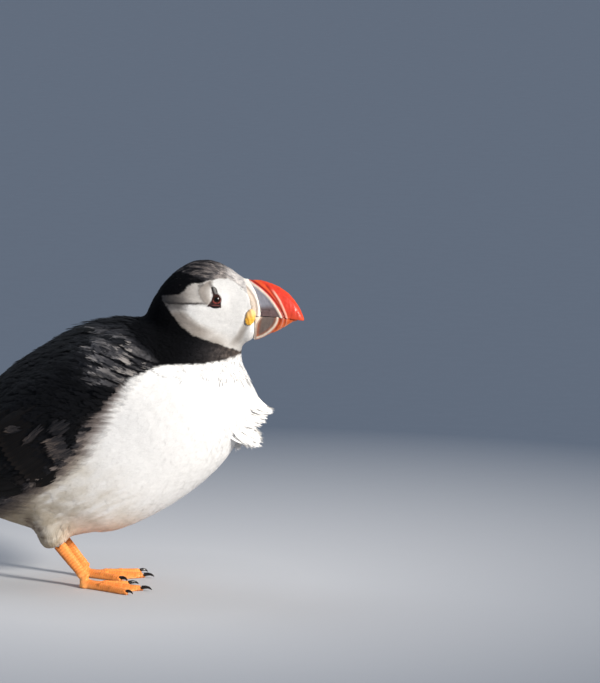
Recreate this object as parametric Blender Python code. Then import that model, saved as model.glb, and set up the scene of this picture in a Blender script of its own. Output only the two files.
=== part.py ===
"""Atlantic puffin, standing: a still, life-size model, in metres, +Z up, head towards +X, left side at +Y.

Every shape is worked out in millimetres from the ankle joints, which stand over the working origin,
and the finished bird is moved so that its footprint box is centred on the origin, soles at Z = 0.
"""

import math

import bmesh
import bpy
import numpy as np
from mathutils import Matrix, Vector
from mathutils.bvhtree import BVHTree

MM = 0.001
GAP = 0.3  # between neighbouring solids, mm

# Posture.
TRUNK_CENTRE = (14.6, 0.0, 91.7)
TRUNK_PITCH = 32.0  # breast up, degrees

# Trunk stations along its own axis: s, back, belly, half width, level of the widest point.
TRUNK = [
    (-112.0, 25.5, 14.0, 7.0, 20.0),
    (-104.0, 31.0, 6.5, 13.0, 20.0),
    (-96.0, 37.0, -2.0, 18.0, 19.5),
    (-86.0, 44.0, -12.5, 23.5, 18.0),
    (-70.0, 53.5, -29.5, 32.0, 14.0),
    (-48.0, 62.0, -45.0, 39.0, 9.0),
    (-24.0, 65.0, -53.5, 43.0, 5.0),
    (4.0, 64.5, -55.5, 45.0, 2.0),
    (26.0, 60.5, -53.8, 45.0, 0.0),
    (42.0, 53.0, -50.5, 43.5, -2.0),
    (58.0, 40.0, -44.5, 39.5, -4.0),
    (73.0, 24.0, -37.5, 31.0, -8.0),
    (82.0, 9.0, -29.5, 20.0, -10.0),
    (86.2, -5.0, -18.0, 7.0, -11.0),
]
# Neck stations up its axis: height, back, breast, half width.
NECK = [
    (92.0, 10.0, 92.0, 34.0),
    (104.0, 14.0, 99.5, 33.5),
    (114.0, 20.0, 101.0, 32.0),
    (126.0, 25.0, 95.0, 28.5),
    (138.0, 28.5, 90.0, 25.5),
    (148.0, 31.0, 87.0, 23.0),
    (160.0, 35.0, 80.0, 19.0),
    (168.0, 42.0, 70.0, 14.0),
]
# Head stations from nape to bill: x, crown, chin, half width, level of the widest point.
HEAD = [
    (33.5, 163.0, 152.0, 5.0, 157.0),
    (37.5, 170.5, 142.0, 12.0, 156.0),
    (45.0, 181.3, 135.0, 17.5, 158.0),
    (54.0, 189.0, 133.5, 20.3, 160.0),
    (64.0, 193.4, 134.5, 20.8, 162.0),
    (73.0, 193.3, 137.5, 18.6, 163.0),
    (81.0, 189.4, 140.5, 15.6, 163.0),
    (88.0, 184.4, 143.2, 12.8, 162.5),
    (94.0, 181.4, 146.0, 11.0, 162.0),
    (100.0, 176.0, 150.0, 9.0, 161.5),
    (106.0, 170.0, 155.0, 5.0, 161.5),
]
HEAD_FULLNESS = 2.25
# Where neck and trunk part, from nape to breast, in the side view.
NECK_EDGE = [
    (26.0, 200.0),
    (27.0, 170.0),
    (29.0, 152.0),
    (35.0, 143.0),
    (44.0, 136.0),
    (60.0, 133.0),
    (80.0, 133.5),
    (100.0, 135.5),
]
CROWN_NAPE_CUT = ((30.0, 176.5), (60.0, 176.0))
BACK_BELLY_LEVEL = 21.0  # above the trunk's axis
# Where the white face ends, from above the bill back over the eye, down the cheek and forward to the chin.
FACE_EDGE = [
    (96.0, 187.5),
    (87.5, 186.5),
    (85.6, 184.0),
    (80.0, 185.4),
    (72.0, 184.4),
    (64.5, 181.6),
    (58.0, 178.8),
    (47.0, 175.6),
    (47.8, 169.5),
    (53.6, 160.2),
    (63.6, 150.9),
    (75.0, 146.6),
    (86.0, 141.6),
    (96.0, 139.5),
]

# Bill stations: x, ridge, cutting edge, underside, half width at the edge.
BILL = [
    (80.0, 186.0, 162.6, 142.0, 11.8),
    (88.0, 184.0, 162.4, 143.6, 11.0),
    (94.0, 182.6, 162.2, 145.4, 10.0),
    (99.0, 182.2, 162.0, 147.6, 9.0),
    (105.0, 180.8, 161.7, 150.2, 7.6),
    (112.0, 178.2, 161.2, 153.4, 5.9),
    (117.0, 174.9, 160.6, 156.0, 4.6),
    (121.3, 170.2, 159.9, 158.3, 3.3),
    (124.2, 165.6, 159.4, 158.8, 2.2),
    (126.4, 160.4, 158.9, 158.6, 0.9),
]
LOWER_BILL_END = 122.4
BILL_RIDGE_FULLNESS = 1.9
BILL_BASE_ARC = ((87.4, 187.0), (98.2, 168.0), (95.4, 143.0))  # where feathers end, top to bottom
RIDGE_PROUD = 0.7  # the cream ridge round the upper bill's base
RIDGE_WIDTH = 3.6
ROSETTE = (96.8, 161.4)
ROSETTE_SIZE = (3.1, 2.0, 5.0)
ROSETTE_TURN = 18.0

EYE = (78.8, 172.1)
EYE_RADIUS = 4.6
EYE_PROUD = 1.0  # beyond the cheek
PLATE_ABOVE = (77.2, 177.0)
PLATE_ABOVE_SIZE = (1.5, 0.9, 2.8)
PLATE_ABOVE_TURN = -22.0
PLATE_BELOW = (77.2, 168.1)
PLATE_BELOW_SIZE = (4.3, 0.9, 1.1)

# Folded wing stations along the trunk's axis: s, lower edge, upper edge.
WING = [
    (53.0, 21.0, 30.0),
    (50.0, 17.0, 38.0),
    (44.0, 15.5, 44.5),
    (32.0, 15.0, 50.0),
    (19.0, 13.0, 53.0),
    (5.0, 8.0, 54.0),
    (-8.0, 2.0, 53.5),
    (-22.0, -4.0, 52.5),
    (-36.0, -6.0, 51.0),
    (-50.0, -5.5, 48.5),
    (-67.0, -2.5, 44.0),
    (-82.0, 7.0, 38.5),
    (-95.0, 16.0, 33.5),
    (-104.0, 21.5, 29.5),
    (-109.0, 24.4, 26.6),
]
WING_PROUD = 4.4
WING_EDGE = 1.1  # thickness
WING_BED_PAST_RUMP = 8.0
PRIMARY_CUT = ((-50.0, -14.0), (-86.0, 46.0))  # side view, on the trunk's axis

TAIL_ROOT = (-86.0, 20.0)  # s and level on the trunk's axis
TAIL_LENGTH = 46.0
TAIL_FAN = 17.0  # half angle, degrees
TAIL_FEATHERS = 12
TAIL_THICK = (3.6, 1.3)  # root and tip
TAIL_ROOT_HALF = 10.0
TAIL_ARCH = 0.004  # drop of the outer feathers, per mm of width squared

# Legs.
LEG_SPREAD = 17.0
LEFT_LEG_BACK = 8.5  # the left leg stands this much further back
ANKLE = (0.0, 5.0)
HEEL = (-17.2, 25.8)
TARSUS_SIZE = (3.7, 2.6)  # half sizes, fore and aft, and across
TROUSER_TOP = (-23.0, 50.0)
TROUSER_END = (-19.4, 22.0)
TROUSER_RADIUS = (18.0, 6.8)  # fore and aft, at the top and at the end
TOE_OUT = 6.0
TOES = {  # name: (angle inwards, length, half width), of the fleshy part
    "inner": (29.0, 26.0, 2.0),
    "middle": (1.0, 35.5, 2.15),
    "outer": (-24.0, 34.0, 2.05),
}
TOE_HEIGHT = (5.4, 3.0)  # at the ankle and at the claw
WEB_THICK = 1.0
WEB_SAG = 0.83
CLAWS = {  # name: (length, root radius, sideways turn in degrees)
    "inner": (7.4, 1.45, 14.0),
    "middle": (7.0, 1.4, 0.0),
    "outer": (5.6, 1.2, 0.0),
}
CLAW_CLEAR = 0.4  # tips above the floor

# Breast feathers lifted by the wind: root and tip in the side view, offset across, root radius.
TUFTS = [
    ((93.0, 112.0), (109.3, 105.6), -1.0, 6.0),
    ((92.0, 105.0), (104.8, 98.4), 5.0, 5.5),
    ((87.0, 99.0), (103.2, 86.8), -2.0, 6.0),
    ((84.0, 96.0), (96.6, 82.6), 4.0, 5.0),
    ((81.0, 93.0), (89.6, 82.0), -5.0, 5.0),
]

COLOURS = {  # material: (base colour, roughness)
    "white_plumage": ((0.83, 0.81, 0.78), 0.8),
    "black_plumage": ((0.022, 0.021, 0.023), 0.6),
    "face_plumage": ((0.70, 0.68, 0.66), 0.8),
    "bill_horn": ((0.80, 0.11, 0.025), 0.35),
    "ridge_horn": ((0.85, 0.72, 0.50), 0.5),
    "gape_skin": ((0.88, 0.50, 0.07), 0.5),
    "eye_wet": ((0.03, 0.016, 0.012), 0.08),
    "eye_plate_horn": ((0.16, 0.18, 0.21), 0.5),
    "foot_skin": ((0.87, 0.27, 0.045), 0.45),
    "claw_horn": ((0.03, 0.027, 0.025), 0.35),
}

RING = 36
BODY_DETAIL = 0.034  # share of the smooth surface's triangles kept
SIDES = ((1, "left"), (-1, "right"))


def clear_scene():
    for obj in list(bpy.data.objects):
        bpy.data.objects.remove(obj, do_unlink=True)


def finish_named(name):
    colour, roughness = COLOURS[name]
    material = bpy.data.materials.get(name)
    if material is None:
        material = bpy.data.materials.new(name)
        material.use_nodes = True
        shader = material.node_tree.nodes["Principled BSDF"]
        shader.inputs["Base Color"].default_value = (*colour, 1.0)
        shader.inputs["Roughness"].default_value = roughness
        shader.inputs["Metallic"].default_value = 0.0
    return material


def add_object(name, mesh, material=None):
    """Links a mesh as an object. One with no material is a cutter or a guide."""
    obj = bpy.data.objects.new(name, mesh)
    bpy.context.scene.collection.objects.link(obj)
    if material is None:
        obj.hide_render = True
        obj.display_type = "WIRE"
    else:
        mesh.materials.clear()
        mesh.materials.append(finish_named(material))
    return obj


def tidy_mesh(bm, name):
    """The bmesh as a mesh, closed and facing out."""
    bmesh.ops.remove_doubles(bm, verts=bm.verts, dist=1e-6)
    bmesh.ops.recalc_face_normals(bm, faces=bm.faces)
    mesh = bpy.data.meshes.new(name)
    bm.to_mesh(mesh)
    bm.free()
    return mesh


def smooth_table(rows, at):
    """Values of a table at new places in its first column, on curves that never overshoot its rows."""
    table = np.array(sorted(rows), float)
    x, y = table[:, 0], table[:, 1:]
    step = np.diff(x)[:, None]
    slope = np.diff(y, axis=0) / step
    tangent = np.zeros_like(y)
    turn = slope[:-1] * slope[1:] > 0
    mean = 2 * slope[:-1] * slope[1:] / np.where(turn, slope[:-1] + slope[1:], 1)
    tangent[1:-1] = np.where(turn, mean, 0)
    tangent[0], tangent[-1] = slope[0], slope[-1]
    at = np.atleast_1d(np.clip(at, x[0], x[-1]))
    i = np.clip(np.searchsorted(x, at) - 1, 0, len(x) - 2)
    h = step[i]
    t = ((at - x[i])[:, None]) / h
    return (
        y[i] * (1 + 2 * t) * (1 - t) ** 2
        + y[i + 1] * t * t * (3 - 2 * t)
        + h * tangent[i] * t * (1 - t) ** 2
        + h * tangent[i + 1] * t * t * (t - 1)
    )


def eased(low, high, count):
    """Places from low to high, closer together at both ends, so that a loft's ends come out round."""
    t = np.linspace(0, math.pi, count)
    return low + (high - low) * (1 - np.cos(t)) / 2


def oval(count, half_width, middle, top, bottom, fullness=2.0):
    """Points (across, up) of a closed oval with its widest points at middle."""
    points = []
    for angle in np.linspace(0, 2 * math.pi, count, endpoint=False):
        c, s = math.cos(angle), math.sin(angle)
        across = half_width * math.copysign(abs(c) ** (2 / fullness), c)
        reach = (top - middle) if s >= 0 else (middle - bottom)
        up = middle + reach * math.copysign(abs(s) ** (2 / fullness), s)
        points.append((across, up))
    return points


def loft(name, rings):
    """A closed mesh through rings of 3-D points in mm, with a flat cap at each end."""
    bm = bmesh.new()
    loops = [[bm.verts.new(Vector(p) * MM) for p in ring] for ring in rings]
    count = len(loops[0])
    for a, b in zip(loops, loops[1:]):
        for k in range(count):
            bm.faces.new((a[k], a[(k + 1) % count], b[(k + 1) % count], b[k]))
    bm.faces.new(loops[0])
    bm.faces.new(loops[-1])
    return tidy_mesh(bm, name)


def prism(name, outline, half_width, y_middle=0.0):
    """A side-view outline (x, z) pushed out along Y to both sides of y_middle."""
    rings = []
    for y in (y_middle - half_width, y_middle + half_width):
        rings.append([(x, y, z) for x, z in outline])
    return loft(name, rings)


def applied(obj, name=None):
    """The object's mesh with its modifiers applied and its place put into the vertices."""
    bpy.context.view_layer.update()
    graph = bpy.context.evaluated_depsgraph_get()
    mesh = bpy.data.meshes.new_from_object(obj.evaluated_get(graph))
    mesh.transform(obj.matrix_world)
    mesh.name = name or obj.name
    return mesh


def combine(mesh, other, operation, name):
    """A mesh joined with, cut by or kept inside another one."""
    base, tool = add_object("base", mesh), add_object("tool", other)
    modifier = base.modifiers.new(operation, "BOOLEAN")
    modifier.operation = operation
    modifier.object = tool
    result = applied(base, name)
    bpy.data.objects.remove(base)
    bpy.data.objects.remove(tool)
    return result


def on_trunk(s, across, up):
    """A point given on the trunk's own axis, as a point of the bird in mm."""
    pitch = math.radians(TRUNK_PITCH)
    x = TRUNK_CENTRE[0] + s * math.cos(pitch) - up * math.sin(pitch)
    z = TRUNK_CENTRE[2] + s * math.sin(pitch) + up * math.cos(pitch)
    return (x, across, z)


def trunk_loft(name, grow=0.0, rear=0.0):
    """The egg of the trunk. grow swells it all round, and rear lengthens the rump."""
    rings = []
    for s in eased(TRUNK[0][0], TRUNK[-1][0], 26):
        back, belly, half, middle = smooth_table(TRUNK, s)[0]
        share = max(0.0, (TRUNK[3][0] - s) / (TRUNK[3][0] - TRUNK[0][0]))
        past = s - rear * share + grow * np.sign(s) * (abs(s) / 95.0) ** 8
        ring = oval(RING, half + grow, middle, back + grow, belly - grow, 2.15)
        rings.append([on_trunk(past, y, z) for y, z in ring])
    return loft(name, rings)


def neck_loft():
    rings = []
    for z in np.linspace(NECK[0][0], NECK[-1][0], 12):
        nape, throat, half = smooth_table(NECK, z)[0]
        ring = oval(RING, half, (nape + throat) / 2, throat, nape, 2.1)
        rings.append([(x, y, z) for y, x in ring])
    return loft("neck_form", rings)


def head_loft():
    rings = []
    for x in eased(HEAD[0][0], HEAD[-1][0], 20):
        crown, chin, half, middle = smooth_table(HEAD, x)[0]
        ring = oval(RING, half, middle, crown, chin, HEAD_FULLNESS)
        rings.append([(x, y, z) for y, z in ring])
    return loft("head_form", rings)


def leg_place(side):
    """Where a leg's ankle stands."""
    return Vector((-LEFT_LEG_BACK if side > 0 else 0.0, side * LEG_SPREAD, 0.0))


def thigh_loft(side):
    """The feathered leg, from deep in the belly down to the heel."""
    rings = []
    for t in np.linspace(0, 1, 8):
        x = TROUSER_TOP[0] + (TROUSER_END[0] - TROUSER_TOP[0]) * t
        z = TROUSER_TOP[1] + (TROUSER_END[1] - TROUSER_TOP[1]) * t
        radius = TROUSER_RADIUS[1] + (TROUSER_RADIUS[0] - TROUSER_RADIUS[1]) * (1 - t)
        radius *= 1 if t < 1 else 0.8
        y = leg_place(side).y + side * 1.0 * (1 - t)
        ring = oval(16, radius * 0.85, 0, radius, -radius)
        rings.append([(x + leg_place(side).x + b, y + a, z) for a, b in ring])
    return loft("thigh", rings)


def tuft_cone(root, tip, across, radius):
    """One lock of lifted breast feathers: a flattened, drooping cone."""
    start, end = Vector((root[0], across, root[1])), Vector((tip[0], across * 1.6, tip[1]))
    along = (end - start).normalized()
    side = Vector((0, 1, 0))
    up = side.cross(along)
    rings = []
    for t in (0.0, 0.4, 0.7, 0.9, 1.0):
        centre = start.lerp(end, t) - up * 1.6 * math.sin(math.pi * t)
        r = radius * (1 - t) ** 0.75 + 0.4
        rings.append([centre + side * a * 1.9 + up * b * 0.5 for a, b in oval(10, r, 0, r, -r)])
    return loft("tuft_form", rings)


def body_mesh():
    """Trunk, neck and head flowed into one surface, then thinned to a light mesh."""
    whole = trunk_loft("body")
    for form in (neck_loft(), head_loft()):
        whole = combine(whole, form, "UNION", "body")
    obj = add_object("body_form", whole)
    remesh = obj.modifiers.new("flow", "REMESH")
    remesh.mode = "VOXEL"
    remesh.voxel_size = 1.9 * MM
    soften = obj.modifiers.new("soften", "SMOOTH")
    soften.factor = 0.5
    soften.iterations = 12
    thin = obj.modifiers.new("thin", "DECIMATE")
    thin.ratio = BODY_DETAIL
    result = applied(obj, "body")
    bpy.data.objects.remove(obj)
    for tuft in TUFTS:
        result = combine(result, tuft_cone(*tuft), "UNION", "body")
    return result


def kept_beyond(mesh, line, side, name):
    """What lies on one side of a plane across the bird, given by its side-view line. side is +1 above it."""
    (x0, z0), (x1, z1) = line
    normal = Vector((-(z1 - z0), 0, x1 - x0)).normalized() * side
    point = Vector((x0, 0, z0)) + normal * GAP / 2
    far = Vector((x1 - x0, 0, z1 - z0)).normalized() * 400
    corners = [point - far, point + far, point + far + normal * 400, point - far + normal * 400]
    return combine(mesh, prism("side", [(p.x, p.z) for p in corners], 200), "INTERSECT", name)


def arc_through(a, b, c, count):
    """Points of the circle arc from a to c through b."""
    (ax, ay), (bx, by), (cx, cy) = a, b, c
    d = 2 * (ax * (by - cy) + bx * (cy - ay) + cx * (ay - by))
    aa, bb, cc = ax * ax + ay * ay, bx * bx + by * by, cx * cx + cy * cy
    ux = (aa * (by - cy) + bb * (cy - ay) + cc * (ay - by)) / d
    uy = (aa * (cx - bx) + bb * (ax - cx) + cc * (bx - ax)) / d
    radius = math.hypot(ax - ux, ay - uy)
    start, end = math.atan2(ay - uy, ax - ux), math.atan2(cy - uy, cx - ux)
    angles = np.linspace(start, end, count)
    return [(ux + radius * math.cos(t), uy + radius * math.sin(t)) for t in angles]


def front_of_face(offset):
    """The space in front of the line where the feathers end, moved forward by offset."""
    arc = [(x + offset, z) for x, z in arc_through(*BILL_BASE_ARC, 11)]
    high, low = arc[0], arc[-1]
    return prism("face_front", [(high[0], 210.0), *arc, (low[0], 120.0), (150, 120), (150, 210)], 40)


def region(edge, offset):
    """The space in front of an edge line in the side view, from its first point down to its last, shrunk by offset."""
    points = [Vector((x, z)) for x, z in edge]
    points = [points[0] * 2 - points[1], *points, points[-1] * 2 - points[-2]]
    moved = []
    for before, after, point in zip(points, points[2:], points[1:]):
        along = (after - before).normalized()
        moved.append(point + Vector((-along.y, along.x)) * offset)
    outline = [(p.x, p.y) for p in moved]
    return prism("region", [*outline, (150.0, outline[-1][1]), (150.0, outline[0][1])], 60)


def mandible(name, upper, swell=0.0):
    """Half of the bill, its cutting edge on the gape line and its ridge sharp."""
    end = BILL[-1][0] if upper else LOWER_BILL_END
    rings = []
    for x in eased(BILL[0][0] - 4, end, 15):
        ridge, edge, underside, half = smooth_table(BILL, x)[0]
        edge += GAP / 2 if upper else -GAP / 2
        far = ridge + swell * 0.5 if upper else underside
        half += swell
        if not upper:
            close = min(1.0, (end - x) / 7.0) ** 0.5
            half *= 0.25 + 0.7 * close
            far = edge - 0.6 - (edge - 0.6 - far) * close
        side = []
        for t in np.linspace(0, 1, 7):
            width = half * (1 - t**BILL_RIDGE_FULLNESS) ** 0.6
            side.append((max(width, 0.3), edge + (far - edge) * t))
        ring = [(x, y, z) for y, z in side] + [(x, -y, z) for y, z in reversed(side)]
        rings.append(ring)
    return combine(loft(name, rings), front_of_face(GAP), "INTERSECT", name)


def ellipsoid(name, centre, sizes, turn=0.0, segments=14, rings=9):
    """An ellipsoid turned about Y by an angle in degrees."""
    bm = bmesh.new()
    bmesh.ops.create_uvsphere(bm, u_segments=segments, v_segments=rings, radius=1.0)
    turned = Matrix.Rotation(math.radians(turn), 4, "Y")
    stand = Matrix.Rotation(math.radians(90), 4, "X")
    scale = Matrix.Diagonal((*(v * MM for v in sizes), 1.0))
    place = Matrix.Translation(Vector(centre) * MM) @ turned @ scale @ stand
    bmesh.ops.transform(bm, matrix=place, verts=bm.verts)
    return tidy_mesh(bm, name)


def grown(mesh, by):
    """A copy of a mesh with every point moved out along its normal."""
    bm = bmesh.new()
    bm.from_mesh(mesh)
    bm.normal_update()
    for vert, normal in [(v, v.normal.copy()) for v in bm.verts]:
        vert.co += normal * by * MM
    return tidy_mesh(bm, mesh.name + "_grown")


def tree_of(mesh):
    bm = bmesh.new()
    bm.from_mesh(mesh)
    tree = BVHTree.FromBMesh(bm)
    bm.free()
    return tree


def on_surface(tree, x, z, side):
    """Where a line along Y, coming from one side, meets a surface: the point in mm and its normal."""
    origin = Vector((x, side * 200.0, z)) * MM
    point, normal, _, _ = tree.ray_cast(origin, Vector((0, -side, 0)))
    return (None, None) if point is None else (point / MM, normal)


def wing_mesh(side, bed):
    """The folded wing: a shell that lies on the trunk's side, thickest in the middle."""
    levels = np.linspace(-1, 1, 7)
    rings = []
    for s in eased(WING[-1][0], WING[0][0], 15):
        low, high = smooth_table(WING, s)[0]
        inner, outer = [], []
        for t in levels:
            x, _, z = on_trunk(s, 0, (low + high) / 2 + t * (high - low) / 2)
            point, normal = on_surface(bed, x, z, side)
            share = min(1.0, (high - low) / 30.0) ** 0.5
            thick = WING_EDGE + (WING_PROUD - WING_EDGE) * share * (1 - t * t) ** 0.7
            inner.append(point - normal * 0.5)
            outer.append(point + normal * thick)
        rings.append(inner + outer[::-1])
    return loft("wing", rings)


def tail_mesh():
    """Twelve feathers as one slightly arched fan with a scalloped end."""
    columns = TAIL_FEATHERS * 2 + 1
    rings = []
    for v in (0.0, 0.35, 0.7, 0.93, 1.0):
        thick = TAIL_THICK[0] + (TAIL_THICK[1] - TAIL_THICK[0]) * v
        top, bottom = [], []
        for k in range(columns):
            u = 2 * k / (columns - 1) - 1
            fan = math.radians(TAIL_FAN * u)
            reach = TAIL_LENGTH * (1 - 0.11 * u * u) - (1.3 if k % 2 == 0 else 0.0)
            s = TAIL_ROOT[0] - v * reach * math.cos(fan)
            y = u * TAIL_ROOT_HALF + v * reach * math.sin(fan)
            level = TAIL_ROOT[1] - TAIL_ARCH * y * y
            edge = 0.5 + 0.5 * (1 - u**6)
            top.append(on_trunk(s, y, level + thick * edge / 2))
            bottom.append(on_trunk(s, y, level - thick * edge / 2))
        rings.append(top + bottom[::-1])
    return loft("tail", rings)


def tarsus_mesh(side):
    """The bare shank from the heel to the ankle."""
    rings = []
    for t in (-0.1, 0.12, 0.5, 0.85, 1.0):
        x = HEEL[0] + (ANKLE[0] - HEEL[0]) * t
        z = HEEL[1] + (ANKLE[1] - HEEL[1]) * t
        swell = 1 + 0.22 * abs(2 * max(t, 0) - 1) ** 3
        across, along = TARSUS_SIZE[1] * swell, TARSUS_SIZE[0] * swell
        ring = oval(10, across, 0, along, -along)
        rings.append([leg_place(side) + Vector((x + b * 0.78, a, z + b * 0.62)) for a, b in ring])
    return loft("tarsus", rings)


def toe_angle(toe, side):
    """Direction of a toe on the floor, in radians from straight ahead towards +Y."""
    return math.radians(-side * TOES[toe][0] + side * TOE_OUT)


def foot_reach(angle):
    """How far the webbed foot reaches from the ankle at an angle inwards, in degrees."""
    ordered = sorted((TOES[name][0], TOES[name][1]) for name in TOES)
    if angle <= ordered[0][0] or angle >= ordered[-1][0]:
        beyond = min(abs(angle - ordered[0][0]), abs(angle - ordered[-1][0]))
        length = ordered[0][1] if angle <= ordered[0][0] else ordered[-1][1]
        side = 2.3 / max(math.sin(math.radians(min(beyond, 90.0))), 1e-3)
        return max(min(length, side), 4.2)
    for (a0, r0), (a1, r1) in zip(ordered, ordered[1:]):
        if a0 <= angle <= a1:
            t = (angle - a0) / (a1 - a0)
            sag = 1 - (1 - WEB_SAG) * math.sin(math.pi * t) ** 0.7
            return (r0 + (r1 - r0) * t) * sag


def foot_height(angle, radius):
    """Height of the foot's upper side at a place given from the ankle."""
    height = WEB_THICK
    for centre, length, half in TOES.values():
        off = radius * math.sin(math.radians(min(abs(angle - centre), 90.0)))
        share = min(radius / length, 1.0)
        top = TOE_HEIGHT[0] + (TOE_HEIGHT[1] - TOE_HEIGHT[0]) * share**0.5
        if off < half:
            height = max(height, WEB_THICK + (top - WEB_THICK) * (1 - (off / half) ** 2) ** 0.5)
    knob = 1 - (radius / 5.0) ** 2
    return max(height, WEB_THICK + 3.4 * math.sqrt(knob)) if knob > 0 else height


def foot_mesh(side):
    """Three toes and the web between them, flat underneath."""
    angles = {float(a) for a in range(-170, 181, 34)}
    for centre, _, _ in TOES.values():
        angles |= {centre + d for d in (-7.5, -4.4, -3.0, 0.0, 3.0, 4.4, 7.5)}
    ordered = sorted(TOES[name][0] for name in TOES)
    angles |= {(a + b) / 2 for a, b in zip(ordered, ordered[1:])}
    angles = sorted(a for a in angles if not any(0 < abs(a - c[0]) < 2.9 for c in TOES.values()))
    shares = (0.16, 0.34, 0.58, 0.8, 0.94, 1.0)
    bm = bmesh.new()
    ankle = leg_place(side)
    centre_top = bm.verts.new((ankle + Vector((0, 0, foot_height(0, 0)))) * MM)
    centre_low = bm.verts.new(ankle * MM)
    columns = []
    for angle in angles:
        turn = math.radians(side * (TOE_OUT - angle))
        reach = foot_reach(angle)
        column = []
        for share in shares:
            r = reach * share
            z = foot_height(angle, r) if share < 1 else min(foot_height(angle, r), 1.5) * 0.75
            column.append(ankle + Vector((r * math.cos(turn), r * math.sin(turn), z)))
        column.append(Vector((column[-1].x, column[-1].y, 0.0)))
        columns.append([bm.verts.new(p * MM) for p in column])
    for a, b in zip(columns, columns[1:] + columns[:1]):
        bm.faces.new((centre_top, a[0], b[0]))
        bm.faces.new((centre_low, b[-1], a[-1]))
        for k in range(len(a) - 1):
            bm.faces.new((a[k], a[k + 1], b[k + 1], b[k]))
    return tidy_mesh(bm, "foot")


def claw_mesh(toe, side):
    """A hooked claw from the toe's end down to just above the floor."""
    length, radius, sideways = CLAWS[toe]
    turn = toe_angle(toe, side)
    start = Vector((TOES[toe][1] - 1.2, 0.0, 2.0))
    rings = []
    for t in (0.0, 0.3, 0.6, 0.85, 1.0):
        bend = math.radians(62.0) * t
        at = start + Vector((length * math.sin(bend) / 0.92, 0, 0.9 * math.sin(math.pi * t)))
        at.z += (CLAW_CLEAR + 0.35 - start.z) * t**1.6
        at.y = -side * length * math.tan(math.radians(sideways)) * t * t
        r = radius * (1 - t) ** 0.8 + 0.28
        tilt = bend
        ring = oval(8, r * 0.85, 0, r, -r)
        rings.append(
            [at + Vector((b * math.sin(tilt) * 0.6, a, b * math.cos(tilt * 0.6))) for a, b in ring]
        )
    turned = Matrix.Rotation(turn, 3, "Z")
    return loft("claw", [[turned @ p + leg_place(side) for p in ring] for ring in rings])


def add_head(body):
    """Crown, face, bill, gape rosettes, eyes and the plates round them."""
    above = combine(body, region(NECK_EDGE, GAP / 2), "INTERSECT", "above")
    face = combine(above.copy(), region(FACE_EDGE, GAP / 2), "INTERSECT", "head")
    rest = combine(above, region(FACE_EDGE, -GAP / 2), "DIFFERENCE", "rest")
    add_object("crown", kept_beyond(rest.copy(), CROWN_NAPE_CUT, 1, "crown"), "black_plumage")
    add_object("neck", kept_beyond(rest, CROWN_NAPE_CUT, -1, "neck"), "black_plumage")

    bills = {"bill_upper": mandible("bill_upper", True), "bill_lower": mandible("bill_lower", False)}
    ridge = combine(
        mandible("bill_ridge", True, RIDGE_PROUD), front_of_face(RIDGE_WIDTH), "DIFFERENCE", "ridge"
    )
    ahead = front_of_face(RIDGE_WIDTH + GAP)
    bills["bill_upper"] = combine(bills["bill_upper"], ahead, "INTERSECT", "bill_upper")
    add_object("bill_base_ridge", ridge, "ridge_horn")
    surface = tree_of(face)
    face = combine(face, front_of_face(0), "DIFFERENCE", "head")
    for side, word in SIDES:
        skin, _ = on_surface(surface, *EYE, side)
        eye_centre = (EYE[0], skin.y - side * (EYE_RADIUS - EYE_PROUD), EYE[1])
        ball = (EYE_RADIUS,) * 3
        add_object("eye_" + word, ellipsoid("eye", eye_centre, ball, 0, 16, 9), "eye_wet")
        socket = ellipsoid("socket", eye_centre, (EYE_RADIUS + GAP,) * 3, 0, 16, 9)
        for key, place, size, turn in (
            ("eye_plate_above_", PLATE_ABOVE, PLATE_ABOVE_SIZE, PLATE_ABOVE_TURN),
            ("eye_plate_below_", PLATE_BELOW, PLATE_BELOW_SIZE, 0.0),
        ):
            skin, _ = on_surface(surface, *place, side)
            centre = (place[0], skin.y + side * 0.2, place[1])
            plate = ellipsoid(key, centre, size, turn, 10, 7)
            plate = combine(plate, socket.copy(), "DIFFERENCE", key)
            plate = combine(plate, grown(face, GAP), "DIFFERENCE", key)
            add_object(key + word, plate, "eye_plate_horn")
        face = combine(face, socket, "DIFFERENCE", "head")

        half = smooth_table(BILL, ROSETTE[0])[0][3]
        centre = (ROSETTE[0], side * (half + 0.4), ROSETTE[1])
        rosette = ellipsoid("rosette", centre, ROSETTE_SIZE, ROSETTE_TURN, 12, 9)
        for mesh in (face, ridge, *bills.values()):
            rosette = combine(rosette, grown(mesh, GAP), "DIFFERENCE", "rosette")
        add_object("rosette_" + word, rosette, "gape_skin")
    add_object("head", face, "face_plumage")
    for key, mesh in bills.items():
        add_object(key, mesh, "bill_horn")


def add_trunk(body):
    below = combine(body, region(NECK_EDGE, -GAP / 2), "DIFFERENCE", "below")
    ends = [on_trunk(s, 0, BACK_BELLY_LEVEL) for s in (-100, 100)]
    line = [(p[0], p[2]) for p in ends]
    add_object("trunk_back", kept_beyond(below.copy(), line, 1, "trunk_back"), "black_plumage")
    add_object("trunk_belly", kept_beyond(below, line, -1, "trunk_belly"), "white_plumage")


def add_wings(body):
    bed = tree_of(trunk_loft("bed", GAP, WING_BED_PAST_RUMP))
    ends = [on_trunk(s, 0, level) for s, level in PRIMARY_CUT]
    line = [(p[0], p[2]) for p in ends]
    for side, word in SIDES:
        whole = combine(wing_mesh(side, bed), grown(body, GAP), "DIFFERENCE", "wing")
        front = kept_beyond(whole.copy(), line, -1, "wing_" + word)
        rear = kept_beyond(whole, line, 1, "wing_tip_" + word)
        add_object("wing_" + word, front, "black_plumage")
        add_object("wing_tip_" + word, rear, "black_plumage")


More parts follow.
